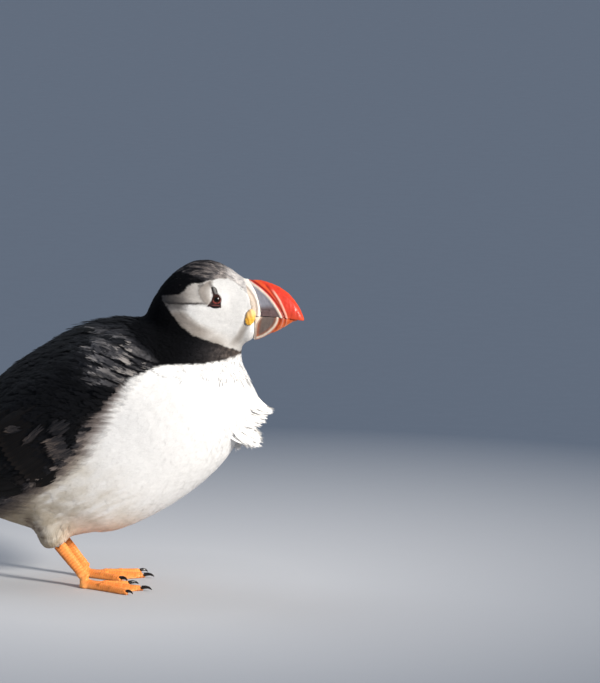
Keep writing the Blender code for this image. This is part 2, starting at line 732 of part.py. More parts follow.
def add_legs(body):
    for side, word in SIDES:
        thigh = thigh_loft(side)
        tarsus = combine(tarsus_mesh(side), grown(thigh, GAP), "DIFFERENCE", "tarsus")
        foot = foot_mesh(side)
        tarsus = combine(tarsus, grown(foot, GAP), "DIFFERENCE", "tarsus")
        thigh = combine(thigh, grown(body, GAP), "DIFFERENCE", "thigh")
        add_object("thigh_" + word, thigh, "white_plumage")
        add_object("tarsus_" + word, tarsus, "foot_skin")
        for toe in CLAWS:
            claw = combine(claw_mesh(toe, side), grown(foot, GAP), "DIFFERENCE", "claw")
            add_object(f"claw_{toe}_{word}", claw, "claw_horn")
        add_object("foot_" + word, foot, "foot_skin")


def centre_on_origin():
    """Puts the middle of the whole bird's footprint box over the origin and its soles at Z = 0."""
    meshes = [obj.data for obj in bpy.data.objects]
    points = np.array([v.co for mesh in meshes for v in mesh.vertices])
    low, high = points.min(axis=0), points.max(axis=0)
    move = Matrix.Translation((-(low[0] + high[0]) / 2, -(low[1] + high[1]) / 2, -low[2]))
    for mesh in meshes:
        mesh.transform(move)
        mesh.update()


def main():
    clear_scene()
    body = body_mesh()
    add_trunk(body.copy())
    add_head(body.copy())
    add_wings(body)
    tail = combine(tail_mesh(), grown(body, GAP), "DIFFERENCE", "tail")
    add_object("tail", tail, "black_plumage")
    add_legs(body)
    centre_on_origin()


if __name__ == "__main__":
    main()
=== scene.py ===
"""Dresses the solids of a standing Atlantic puffin: one skin with its markings, layered feathers, a grooved
bill, wet eyes with their horn plates, scaled feet and claws, and a plain stage. Lengths inside are in
millimetres, measured from the right foot's ankle: x towards the bill, y to the bird's left, z up."""

import functools
import math
from types import SimpleNamespace

import bmesh
import bpy
import numpy as np
from bpy.props import FloatProperty, FloatVectorProperty, PointerProperty
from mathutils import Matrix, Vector
from mathutils.bvhtree import BVHTree


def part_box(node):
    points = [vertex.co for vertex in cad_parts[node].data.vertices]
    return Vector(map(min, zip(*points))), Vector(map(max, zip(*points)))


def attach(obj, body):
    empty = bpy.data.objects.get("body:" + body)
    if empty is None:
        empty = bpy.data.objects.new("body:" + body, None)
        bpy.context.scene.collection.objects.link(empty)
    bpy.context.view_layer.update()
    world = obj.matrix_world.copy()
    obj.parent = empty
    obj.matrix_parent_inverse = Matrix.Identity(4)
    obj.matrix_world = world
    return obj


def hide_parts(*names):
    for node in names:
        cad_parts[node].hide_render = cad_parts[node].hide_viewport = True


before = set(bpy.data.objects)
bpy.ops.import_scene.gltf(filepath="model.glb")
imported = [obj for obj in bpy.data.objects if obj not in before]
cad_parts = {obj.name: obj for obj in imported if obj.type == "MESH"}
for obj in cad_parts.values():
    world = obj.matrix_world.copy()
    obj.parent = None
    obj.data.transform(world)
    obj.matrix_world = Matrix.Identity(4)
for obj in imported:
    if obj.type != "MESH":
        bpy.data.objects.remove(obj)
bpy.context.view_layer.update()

bl_info = {
    "name": "Atlantic Puffin",
    "version": (1, 0, 0),
    "blender": (4, 5, 0),
    "location": "3D View > Sidebar > Puffin",
    "description": "Gives the puffin's solids their skin, feathers, bill, eyes and feet",
    "category": "Object",
}

MM = 0.001
SIDES = (-1, 1)  # the bird's right and left
BILL_REACH = 126.4  # the bill's tip ahead of the right ankle
ORIGIN = np.array((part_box("bill_upper")[1][0] - BILL_REACH * MM, 0.0, 0.0))
TRUNK_MIDDLE = (14.6, 91.7)
TRUNK_PITCH = math.radians(32)
HEAD_REAR, HEAD_FOOT = 40.0, 139.0  # the skin is finer ahead of the one and above the other

SKIN_NODES = (
    "trunk_back", "trunk_belly", "neck", "head", "crown",
    "thigh_left", "thigh_right", "wing_left", "wing_right",
)

# Side-view lines (x, z) that part the markings, as they stand on the bird's middle plane.
MARKING_LEAN = (0.213, 0.14)  # how far they shift forwards and upwards for each mm of width
FACE_EDGE = (
    (96.5, 168.0), (92.7, 174.2), (89.4, 177.8), (86.5, 179.9), (83.6, 181.8), (81.5, 182.4), (79.0, 182.3),
    (74.9, 181.7), (70.7, 180.8), (66.9, 179.4), (63.6, 178.9), (60.3, 178.6), (57.5, 177.0), (55.6, 174.2),
    (51.9, 171.9), (47.5, 171.6), (42.6, 171.2), (42.9, 168.1), (46.6, 162.9), (50.1, 158.3), (53.1, 154.3),
    (60.2, 148.6), (67.3, 146.2), (75.6, 143.8), (82.7, 141.6), (90.5, 139.4), (102.0, 139.0), (102.0, 168.0),
)
CROWN_EDGE = ((42.0, 188.5), (51.9, 185.4), (61.1, 183.2), (68.5, 179.6))
WHITE_UNDERPARTS = (
    (100.0, 141.0), (89.3, 138.9), (85.7, 136.5), (76.8, 133.9), (65.0, 131.8), (53.1, 131.2),
    (44.2, 130.6), (35.3, 128.6), (31.2, 125.5), (23.5, 122.4), (20.5, 118.2), (16.3, 112.2),
    (11.6, 106.2), (5.7, 94.3), (-3.2, 79.4), (-12.1, 72.1), (-27.0, 64.1), (-38.0, 56.5),
    (-46.5, 48.9), (-56.0, 44.0), (-70.0, 37.0), (-90.0, 27.5), (-106.0, 19.0), (-140.0, 2.0),
    (-140.0, -30.0), (140.0, -30.0), (140.0, 141.0),
)
EYE_FURROW = ((42.1, 166.6), (57.2, 166.1), (69.1, 165.3))
CHIN_CREASE = ((92.5, 156.5), (88.6, 148.8), (84.0, 142.6))
EYE_PLACE = (75.4, 170.1)
EYE_SEAT = (-1.7, 0.4, -0.4)  # how far the ball is moved in its socket: x, outwards, z
EYE_PATCH = (
    (69.1, 165.4), (77.5, 165.1), (77.7, 170.4), (76.6, 172.4), (75.6, 173.4), (72.7, 177.2), (71.8, 177.0),
    (72.6, 172.0), (72.2, 169.4), (70.8, 167.3),
)

# Side-view lines of the bill's bands: the upper bill's from its ridge down to the gape, the lower bill's from
# the gape down.
BASE_RIDGE = (
    (84.5, 186.0), (87.0, 183.7), (90.5, 180.0), (97.3, 172.3), (99.1, 164.1), (97.3, 155.8),
    (96.4, 146.0),
)
CREAM_LINE = ((94.0, 181.3), (102.3, 175.6), (108.2, 169.4), (112.4, 162.5), (113.0, 161.0))
PALE_GROOVE = ((104.1, 181.0), (108.2, 175.5), (112.1, 169.8), (115.4, 162.1), (116.0, 160.0))
LOWER_CREAM_LINE = (
    (112.6, 163.5), (111.2, 161.3), (110.6, 157.1), (107.2, 152.7), (102.3, 149.2), (96.9, 147.5),
    (92.0, 146.6),
)
NOSTRIL = ((101.8, 164.2), (106.0, 164.3))

# The shoulder's feathers, faded with wear, the part where painted sheen stands for light on them, and lines
# of painted shadow under its locks.
SHOULDER = (
    (-10.0, 151.0), (3.0, 154.5), (14.0, 153.0), (25.0, 148.5), (34.0, 141.5), (44.5, 131.5), (33.0, 126.5),
    (24.0, 121.5), (17.0, 116.0), (0.0, 115.5), (-9.0, 120.0), (-14.0, 136.0),
)
SUNLIT = (
    (0.0, 151.5), (9.0, 151.0), (20.0, 146.5), (31.0, 140.0), (43.0, 131.8), (33.0, 128.0), (23.0, 123.0),
    (15.0, 118.5), (3.0, 119.0), (-2.0, 124.0), (4.0, 130.0), (-1.0, 137.0), (4.0, 143.0),
)
LOCK_SLOPE = math.radians(-26)
LOCK_GAPS = (
    ((-4.0, 148.6), (10.4, 145.7), (17.8, 142.8), (25.7, 135.9), (36.3, 132.3), (43.2, 131.0)),
    ((-8.0, 142.4), (2.0, 141.4)), ((-4.0, 137.6), (1.9, 136.5), (12.4, 134.3), (20.4, 130.3), (31.0, 126.4)),
    ((24.5, 133.5), (33.0, 127.6)), ((-2.0, 130.6), (7.2, 128.9), (15.1, 126.5), (21.5, 124.0)),
    ((-9.0, 124.6), (-0.2, 122.9), (11.4, 121.4), (19.9, 118.2)),
)

# Worn feathers low on the wing, in the side view: the lines they run from and to, their number, how pale.
WORN_FANS = (
    (((-12.0, 99.5), (-9.0, 95.0)), ((-25.0, 91.0), (-22.0, 87.5)), 55, 0.42),
    (((-14.5, 89.0), (-8.5, 79.0)), ((-27.5, 84.5), (-22.5, 73.0)), 170, 0.80),
    (((-26.5, 95.0), (-26.5, 92.0)), ((-40.7, 81.6), (-39.9, 81.0)), 28, 0.95),
    (((-39.5, 92.6), (-39.5, 90.6)), ((-52.0, 89.5), (-51.0, 88.0)), 20, 0.85),
)

# How feathers lie: a place (x, distance from the middle plane, z) and the way they point (x, outwards, z).
COMB = (
    ((95, 8, 165), (-1, 0.5, 0)), ((80, 16, 172), (-1, 0.15, 0.05)), ((64, 20, 165), (-1, 0, -0.05)),
    ((48, 17, 165), (-0.9, -0.2, -0.3)), ((88, 0, 187), (-1, 0, 0.2)), ((68, 0, 193), (-1, 0, -0.05)),
    ((48, 0, 183), (-0.8, 0, -0.6)), ((36, 0, 165), (-0.5, 0, -0.9)), ((80, 12, 145), (-0.9, 0.1, -0.35)),
    ((88, 0, 142), (-0.75, 0, -0.65)), ((30, 8, 152), (-0.75, 0.1, -0.6)),
    ((50, 20, 142), (-0.8, 0.1, -0.55)), ((75, 12, 136), (-0.55, 0.2, -0.8)),
    ((88, 0, 136), (-0.2, 0, -1)), ((95, 0, 120), (0.1, 0, -1)), ((92, 0, 100), (-0.3, 0, -1)),
    ((80, 25, 115), (-0.3, 0.2, -0.95)), ((60, 38, 110), (-0.7, 0.15, -0.6)),
    ((80, 0, 78), (-0.75, 0, -0.6)), ((50, 0, 50), (-0.85, 0, -0.5)), ((45, 35, 75), (-0.9, 0.05, -0.35)),
    ((10, 40, 75), (-0.92, 0, -0.36)), ((10, 0, 30), (-0.95, 0, -0.2)), ((-20, 25, 50), (-0.92, 0, -0.3)),
    ((-40, 0, 25), (-0.97, 0, -0.1)), ((-80, 0, 15), (-0.95, 0, -0.25)),
    ((38, 30, 128), (-0.89, 0.1, 0.42)), ((25, 35, 135), (-0.89, 0, 0.45)),
    ((10, 30, 148), (-0.97, 0, 0.22)), ((0, 38, 132), (-0.98, 0, 0.16)), ((15, 0, 158), (-1, 0, 0)),
    ((-10, 0, 152), (-0.95, 0, -0.3)), ((-12, 40, 120), (-0.99, 0, -0.02)),
    ((-28, 40, 104), (-0.95, 0, -0.28)), ((-40, 0, 130), (-0.85, 0, -0.53)),
    ((-45, 38, 90), (-0.87, 0, -0.5)), ((-75, 25, 75), (-0.85, -0.1, -0.55)),
    ((-80, 0, 90), (-0.85, 0, -0.55)), ((-15, 42, 85), (-0.9, 0, -0.42)),
    ((-110, 0, 50), (-0.85, 0, -0.5)), ((-18, 17, 34), (-0.12, 0, -1)),
)

# The folded wing's lowest and highest primary, along and across the body's axis, and the points in a course.
LOW_PRIMARY = ((-22, 1), (-40, -1.5), (-55, -1.0), (-67, 1.5), (-82, 10.0), (-95, 18.0), (-109, 25.2))
HIGH_PRIMARY = ((-22, 38), (-40, 43), (-55, 42), (-67, 40), (-82, 36.0), (-95, 31.8), (-107, 27.5))
STEPS_LONG = 14

# Locks of feathers blown up from the breast, in the side view: tip, bend, root, and how blunt the tip is.
BREAST_LOCKS = (
    ((109.3, 106.0), (100.6, 106.5), (93.8, 115.0), 0.35),
    ((108.6, 105.4), (99.8, 104.8), (92.0, 110.5), 0.45),
    ((106.0, 103.4), (100.0, 103.5), (90.0, 107.5), 0.5),
    ((104.8, 99.9), (99.0, 101.0), (89.0, 105.0), 0.5), ((102.0, 97.4), (97.0, 99.0), (88.0, 103.0), 0.6),
    ((98.6, 95.6), (94.0, 98.0), (87.0, 101.0), 0.9), ((101.8, 90.0), (95.0, 92.5), (88.0, 99.0), 0.5),
    ((103.2, 87.6), (96.0, 90.5), (86.0, 97.0), 0.5), ((102.6, 83.4), (95.5, 89.0), (85.0, 96.0), 0.4),
    ((96.3, 82.0), (93.5, 88.5), (84.0, 96.0), 0.5), ((93.0, 86.0), (89.5, 90.0), (83.0, 95.5), 0.4),
    ((88.5, 81.4), (87.3, 88.5), (81.0, 95.0), 0.5),
)
LOCK_STRANDS = 160
TUFT_STRANDS = 10
UNDER_LIGHTNESS = 1.16  # underparts and locks against the face's white
WING_OUT = 41.0  # how far the wing's side lies from the middle plane
PRIMARIES = 10
SECONDARIES = 13
TAIL_FEATHERS = 12
TAIL_LENGTH = 52.0
TAIL_FAN = 17.0  # degrees to either side
BAKE_PATCH = 0.003  # the width of a feather's patch on the baking map

# ---- numbers and lines

def ramp(x, low, high):
    """0 below low, 1 above high, and a smooth rise between."""
    t = np.clip((x - low) / (high - low), 0.0, 1.0)
    return t * t * (3 - 2 * t)


def bump_at(x, middle, half):
    """1 at the middle, falling smoothly to 0 at half on both sides."""
    return 1 - ramp(np.abs(x - middle), 0.0, half)


def blend(a, b, t):
    return a + (b - a) * t


def mix(a, b, t):
    """Colours a and b mixed by the share t, which may be given for each point."""
    return a + (b - a) * np.asarray(t, float)[..., None]


def toned(a, b, t):
    """Colours a and b mixed by the share t as pigments mix, so that a little of the darker one tells."""
    t = np.asarray(t, float)[..., None]
    return np.maximum(a, 1e-4) ** (1 - t) * np.maximum(b, 1e-4) ** t


def unit(v):
    return v / np.maximum(np.linalg.norm(v, axis=-1, keepdims=True), 1e-9)


def hashed(cells, seed):
    """Even random numbers from 0 to 1, the same each run, for whole-number cells."""
    x, y, z = (cells[:, k].astype(np.uint32) for k in range(3))
    h = x * np.uint32(0x9E3779B1) ^ y * np.uint32(0x85EBCA77) ^ z * np.uint32(0xC2B2AE3D)
    h ^= np.uint32((seed * 0x27D4EB2F + 0x165667B1) & 0xFFFFFFFF)
    for shift, factor in ((15, 0x2C1B3C6D), (12, 0x297A2D39)):
        h ^= h >> np.uint32(shift)
        h *= np.uint32(factor)
    h ^= h >> np.uint32(15)
    return h / 4294967295.0


def mottle(points, size, seed=0):
    """Soft random values from -1 to 1 that change over about size mm, which may differ by axis."""
    p = points / np.asarray(size, float)
    cell = np.floor(p).astype(np.int64)
    f = p - cell
    f = f * f * (3 - 2 * f)
    total = np.zeros(len(p))
    for corner in range(8):
        step = np.array((corner & 1, corner >> 1 & 1, corner >> 2))
        total += np.where(step, f, 1 - f).prod(1) * hashed(cell + step, seed)
    return total * 2 - 1


def palette(group):
    """The colours of one group of settings, as arrays."""
    settings = getattr(bpy.context.scene, group)
    return SimpleNamespace(**{key: np.array(getattr(settings, key)) for key in settings.__annotations__})


def to_line(x, z, line):
    """How far points are from an open line, and on which side: positive to the left of its course."""
    best, side = np.full(len(x), 1e9), np.zeros(len(x))
    last = len(line) - 2
    for k, ((ax, az), (bx, bz)) in enumerate(zip(line, line[1:])):
        dx, dz = bx - ax, bz - az
        t = ((x - ax) * dx + (z - az) * dz) / (dx * dx + dz * dz)
        t = np.clip(t, -9.0 if k == 0 else 0.0, 9.0 if k == last else 1.0)
        ox, oz = x - ax - t * dx, z - az - t * dz
        d = np.hypot(ox, oz)
        near = d < best
        best = np.where(near, d, best)
        side = np.where(near, np.sign(dx * oz - dz * ox), side)
    return best, side


def near_line(x, z, line):
    """How far points are from a line that ends at its ends."""
    best = np.full(len(x), 1e9)
    for (ax, az), (bx, bz) in zip(line, line[1:]):
        dx, dz = bx - ax, bz - az
        t = np.clip(((x - ax) * dx + (z - az) * dz) / (dx * dx + dz * dz), 0, 1)
        best = np.minimum(best, np.hypot(x - ax - t * dx, z - az - t * dz))
    return best


def within(x, z, outline):
    """How far inside a closed outline points lie, negative outside."""
    inside = np.zeros(len(x), bool)
    for (ax, az), (bx, bz) in zip(outline, outline[1:] + outline[:1]):
        if az != bz:
            crosses = (az > z) != (bz > z)
            inside ^= crosses & (x < (bx - ax) * (z - az) / (bz - az) + ax)
    away = near_line(x, z, outline + outline[:1])
    return np.where(inside, away, -away)


def laid(points):
    """Where points fall on the side view that the markings are drawn on."""
    wide = np.abs(points[:, 1])
    return points[:, 0] - MARKING_LEAN[0] * wide, points[:, 2] - MARKING_LEAN[1] * wide


def on_axis(points):
    """Places along the trunk, from rump to breast, and above its middle line."""
    x, z = points[:, 0] - TRUNK_MIDDLE[0], points[:, 2] - TRUNK_MIDDLE[1]
    c, s = math.cos(TRUNK_PITCH), math.sin(TRUNK_PITCH)
    return x * c + z * s, -x * s + z * c


# ---- meshes

def mesh_of(name, points, faces):
    """A smooth-shaded mesh from points in mm and faces that all have the same number of corners."""
    mesh = bpy.data.meshes.new(name)
    count, corners = faces.shape
    mesh.vertices.add(len(points))
    mesh.vertices.foreach_set("co", (points * MM + ORIGIN).astype(np.float32).ravel())
    mesh.loops.add(count * corners)
    mesh.loops.foreach_set("vertex_index", faces.astype(np.int32).ravel())
    mesh.polygons.add(count)
    mesh.polygons.foreach_set("loop_start", np.arange(0, count * corners, corners, dtype=np.int32))
    mesh.polygons.foreach_set("use_smooth", np.ones(count, bool))
    mesh.update(calc_edges=True)
    return mesh


def show(name, mesh, material, slot, *nodes):
    """The mesh as a finished piece of the bird."""
    mesh.name = name
    mesh.materials.clear()
    mesh.materials.append(material)
    obj = bpy.data.objects.new(name, mesh)
    bpy.context.scene.collection.objects.link(obj)
    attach(obj, "root")
    if nodes:
        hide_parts(*nodes)
    return obj


def points_of(mesh):
    flat = np.empty(len(mesh.vertices) * 3, np.float32)
    mesh.vertices.foreach_get("co", flat)
    return (flat.reshape(-1, 3).astype(float) - ORIGIN) / MM


def set_points(mesh, points):
    mesh.vertices.foreach_set("co", (points * MM + ORIGIN).astype(np.float32).ravel())
    mesh.update()


def edges_of(mesh):
    flat = np.empty(len(mesh.edges) * 2, np.int32)
    mesh.edges.foreach_get("vertices", flat)
    return flat.reshape(-1, 2)


def normals_of(mesh):
    flat = np.empty(len(mesh.vertices) * 3, np.float32)
    mesh.vertices.foreach_get("normal", flat)
    return flat.reshape(-1, 3).astype(float)


def triangles_of(mesh):
    mesh.calc_loop_triangles()
    corners = np.empty(len(mesh.loop_triangles) * 3, np.int32)
    mesh.loop_triangles.foreach_get("vertices", corners)
    loops = np.empty(len(mesh.loop_triangles) * 3, np.int32)
    mesh.loop_triangles.foreach_get("loops", loops)
    return corners.reshape(-1, 3), loops.reshape(-1, 3)


def smoothed(values, edges, rounds, share=0.5):
    """Values drawn towards the mean of their neighbours; share may be given for each point."""
    count = np.bincount(edges.ravel(), minlength=len(values))[:, None]
    a, b = edges.T
    for _ in range(rounds):
        mean = [
            np.bincount(a, column[b], len(values)) + np.bincount(b, column[a], len(values))
            for column in values.T
        ]
        values = values + share * (np.stack(mean, 1) / np.maximum(count, 1) - values)
    return values


def joined_copies(nodes, grow):
    """One bmesh of copies of solids, each merged and swollen by grow so that neighbours run together."""
    whole = bmesh.new()
    for node in nodes:
        part = bmesh.new()
        part.from_mesh(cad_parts[node].data)
        bmesh.ops.remove_doubles(part, verts=part.verts, dist=2e-6)
        part.normal_update()
        for v in part.verts:
            v.co += v.normal * grow * MM
        piece = bpy.data.meshes.new(node + "_copy")
        part.to_mesh(piece)
        part.free()
        whole.from_mesh(piece)
        bpy.data.meshes.remove(piece)
    return whole


def remeshed(nodes, grow, voxel, name):
    """Copies of solids flowed into one even surface, and only its outermost shell."""
    whole = joined_copies(nodes, grow)
    mesh = bpy.data.meshes.new(name)
    whole.to_mesh(mesh)
    whole.free()
    obj = bpy.data.objects.new(name, mesh)
    bpy.context.scene.collection.objects.link(obj)
    remesh = obj.modifiers.new("flow", "REMESH")
    remesh.mode = "VOXEL"
    remesh.voxel_size = voxel * MM
    bpy.context.view_layer.update()
    result = bpy.data.meshes.new_from_object(obj.evaluated_get(bpy.context.evaluated_depsgraph_get()))
    bpy.data.objects.remove(obj)
    bpy.data.meshes.remove(mesh)
    label = np.arange(len(result.vertices))
    a, b = edges_of(result).T
    for _ in range(200):
        low = label.copy()
        np.minimum.at(low, a, label[b])
        np.minimum.at(low, b, label[a])
        low = low[low]
        if (low == label).all():
            break
        label = low
    names, size = np.unique(label, return_counts=True)
    if len(names) > 1:
        bm = bmesh.new()
        bm.from_mesh(result)
        bm.verts.ensure_lookup_table()
        keep = names[size.argmax()]
        extra = [v for v in bm.verts if label[v.index] != keep]
        bmesh.ops.delete(bm, geom=extra, context="VERTS")
        bm.to_mesh(result)
        bm.free()
    return result


def paint(mesh, colours, name="Plumage"):
    layer = mesh.color_attributes.new(name, "FLOAT_COLOR", "POINT")
    full = np.ones((len(mesh.vertices), 4), np.float32)
    full[:, :3] = np.clip(colours, 0, 1)
    layer.data.foreach_set("color", full.ravel())


def add_uv(mesh, name, places):
    """A UV map from one place for each vertex."""
    layer = mesh.uv_layers.new(name=name, do_init=False)
    loops = np.empty(len(mesh.loops), np.int32)
    mesh.loops.foreach_get("vertex_index", loops)
    layer.uv.foreach_set("vector", places[loops].astype(np.float32).ravel())


# ---- markings

def streaks(points, along, across, seed):
    """Mottling drawn out along the trunk."""
    s, n = on_axis(points)
    return mottle(np.stack((s, points[:, 1], n), 1), (along, across, across), seed)


def crown_colours(points, tint):
    """Black behind and down to the face's upper edge, grey-brown streaks above, then a pale forehead."""
    x, z = laid(points)
    ragged = 1.8 * mottle(points, (5.0, 1.6, 1.6), 20) + 0.8 * mottle(points, (3.0, 0.9, 0.9), 23)
    streak = 0.5 + 0.35 * mottle(points, (6.5, 0.8, 0.9), 21) + 0.15 * mottle(points, (3.0, 0.5, 0.5), 22)
    away, way = to_line(x, z, CROWN_EDGE)
    grey = ramp(away * way + 0.6 * ragged, -0.6, 1.0) * ramp(x + 2 * ragged, 43, 50)
    # the grey-brown streaks on the crown's top are partly painted sheen
    crown = toned(tint.black, tint.crown, grey * (0.35 + 0.65 * ramp(streak, 0.2, 0.8)))
    strands = (1 - grey) * ramp(streak, 0.72, 0.95) * ramp(x, 47, 53) * ramp(x, 64, 58)
    crown = mix(crown, tint.crown, 0.7 * strands)
    crown = toned(crown, tint.forehead, grey * ramp(x + 0.5 * (186 - z), 60, 82) * (0.55 + 0.45 * streak))
    return toned(crown, tint.white, 0.55 * grey * ramp(near_line(x, z, BASE_RIDGE), 6.5, 1.0))


def upper_colours(points, tint, fine):
    """Dark upperparts, greyer on the shoulder with wear and painted sheen where its feathers catch the light,
    with the crown and the black collar.
    """
    x, z = laid(points)
    s, n = on_axis(points)
    # painted sheen on the shoulder's black, paler where light would catch it, with painted shadow under its
    # locks
    worn_and_sheen = ramp(within(x, z, SHOULDER), -2.0, 3.0) * (0.25 + 0.75 * ramp(within(x, z, SUNLIT), -3.0, 1.5))
    worn_and_sheen = worn_and_sheen * (0.35 + 0.6 * lock_streaks(points, 1.5, 8)) * lock_rows(x, z)
    dark = toned(tint.black, tint.worn_and_sheen, np.clip(worn_and_sheen, 0, 1))
    wing_side = ramp(n, 24, 8) * ramp(s, 45, 15)
    dark = mix(dark, tint.brown, 0.12 * wing_side * ramp(streaks(points, 16, 3, 11), 0.0, 0.8))
    dark = mix(dark, crown_colours(points, tint), ramp(z, 168, 173) * ramp(x, 36, 42))
    # the collar gets paler towards its front, partly painted light where it faces the light
    collar = toned(tint.black * 0.7, tint.collar, ramp(x - 0.5 * (z - 140), 46, 88) * (0.95 + 0.15 * fine))
    return mix(dark, collar, ramp(z, 126, 131) * ramp(z, 162, 152) * ramp(x, 34, 42))


def face_colours(points, tint, soft):
    """White face with painted shade: greyer along its lower rear edge and low down, darker in the eye's
    furrow and the chin's crease, and greyer over the furrow where soft folds run.
    """
    x, z = laid(points)
    rim = within(x, z, FACE_EDGE)
    cheek, smoke = tint.cheek, tint.smoke
    hair = 0.5 + 0.5 * mottle(points, (5.0, 1.4, 1.1), 31)
    # painted shade: the face's rear edge and lower part, turned from the light, drawn towards the cheek's
    # grey
    rear = 0.95 * ramp(rim, 9.5, 4.5) * ramp(z, 166, 160) * ramp(x, 80, 62)
    low = 0.85 * ramp(z, 153, 143) * (0.30 + 0.70 * ramp(x, 83, 72))
    face = toned(tint.white, cheek, np.maximum(rear, low) * (0.9 + 0.15 * soft))
    above = ramp(z, 166.2, 167.2)
    fold = x - 63.9 - np.where(z > 174.5, 0.18, 0.075) * (z - 174.5) ** 2
    streaked = ramp(fold, 0.2, -0.8) * (0.35 + 0.55 * hair * ramp(x, 63, 55))
    filled = 0.72 * ramp(fold, -0.8, 0.8) * ramp(fold, 10.0, 2.5)
    dusky = ramp(x + 4 * (hair - 0.5) + 0.4 * (z - 168), 60, 49) * ramp(z, 165.6, 167.4)
    # painted shadow along the eye's furrow: a soft smudge just under it and a dark line in it
    smudge = ramp(x + 2 * (hair - 0.5), 60, 52) * ramp(z, 161.5, 165.5) * ramp(z, 168, 166.5)
    line = bump_at(z - 167.0 - 0.02 * (x - 56), 0.0, 1.0) * ramp(x, 71, 62) * ramp(x, 41, 50)
    for colour, share in (
        (cheek, above * np.maximum(streaked, filled) * ramp(x, 73.5, 70.5)),
        (smoke, above * 0.22 * bump_at(fold, 0.3, 1.6) * ramp(z, 179, 177)),
        (smoke * 0.8, dusky * 0.92),
        (smoke * 0.8, 0.75 * smudge),
        (smoke * 0.6, 0.75 * line),
    ):
        face = toned(face, colour, share)
    face = mix(face, tint.white, ramp(near_line(x, z, EYE_FURROW), 0.9, 0.2) * 0.6 * ramp(x, 56, 63))
    face = toned(face, smoke, 0.38 * ramp(near_line(x, z, ((70.9, 179.2), (72.2, 177.2))), 1.5, 0.2))
    face = toned(face, smoke, 0.50 * ramp(near_line(x, z, ((64.6, 177.4), (66.6, 178.2))), 1.3, 0.2))
    bare = ramp(within(x, z, EYE_PATCH), -0.35, 0.05) * ramp(np.abs(points[:, 1]), 4, 6)
    face = mix(face, tint.eyelid, bare)
    # painted shade in the chin's crease
    crease = near_line(x, z, CHIN_CREASE)
    return toned(face, cheek, 0.55 * ramp(crease, 3.0, 0.3) * ramp(z, 141, 148))


def under_colours(points, tint, edge, soft, hair):
    """White underparts, mottled towards the vent, with painted shade that grows towards the rear and the
    bottom, and a painted glow of bounced light at the lower edge; edge is how far inside them a point lies.
    """
    x, z = laid(points)
    streaking = np.clip(0.45 * streaks(points, 16, 3.2, 51) + 0.3 * streaks(points, 6, 1.5, 52) + 0.45, 0, 1)
    rear_thigh = near_line(x, z, ((-38.5, 35.5), (-30.5, 27.0)))
    under = np.minimum(tint.white * UNDER_LIGHTNESS, 0.92)
    for colour, share in (
        # beige streaks, with painted shade that grows towards the rear and the bottom
        (tint.beige_streak_shade, streaking * ramp(x + 0.9 * (z - 60), 40, -75)),
        (tint.vent, ramp(x, -16, -46) * (0.6 + 0.3 * soft)),
        (tint.vent, 0.5 * ramp(edge, 10, 1) * ramp(x, 2, -14)),
        # painted bounced light: a peach glow low on the belly, as if thrown up from the orange feet and the
        # floor
        (tint.bounced_peach, 0.9 * ramp(z, 46, 27) * ramp(x, 50, 15) * ramp(x, -24, -10)),
        (tint.vent, 0.28 * ramp(x, -4, -14) * ramp(z, 42, 34)),
        (tint.brown * 1.6, 0.6 * ramp(rear_thigh, 4.5, 0.5) * (0.2 + 0.8 * hair)),
    ):
        under = toned(under, colour, share)
    return under


def markings(points):
    """The plumage colour at any place on the bird, with its painted light and shade, the same for skin and
    feathers.
    """
    tint = palette("puffin_plumage")
    x, z = laid(points)
    s, _ = on_axis(points)
    fine, soft = mottle(points, 1.6, 3), mottle(points, 7.0, 5)
    hair = ramp(mottle(points, (12, 3, 1.1), 61) + 0.4 * mottle(points, (5, 2, 0.7), 62), -0.5, 0.5)
    edge = within(x, z, WHITE_UNDERPARTS) + fine * 0.4
    edge = edge + ramp(s, 30, -20) * 1.6 * mottle(points, (12, 5, 2.0), 41)
    dark = upper_colours(points, tint, fine)
    under = under_colours(points, tint, edge, soft, hair)
    on_head = ramp(z, 132, 140) * ramp(z, 131, 134) * ramp(x, 86, 80)
    colour = mix(dark, under, ramp(edge, -0.7, 0.9) * (1 - on_head))

    # brown hair-like feathers run along the border of wing and flank
    level = edge * (1 + 0.7 * ramp(z, 97, 106)) + 3.0 * (hair - 0.5) - 4.0 * ramp(x, -4, -18)
    fringe = toned(dark, tint.flank, ramp(level, -9.0, -4.0))
    fringe = toned(fringe, under, ramp(level, -7.0, 7.0))
    colour = mix(colour, fringe, ramp(s, 36, 22) * ramp(x, -75, -55))
    face = ramp(within(x, z, FACE_EDGE) + 0.35 * fine, -0.4, 0.5) * ramp(z, 137.5, 139.5)
    colour = mix(colour, face_colours(points, tint, soft), face)
    return colour * (1 + 0.05 * fine)[:, None]


# ---- body and skin

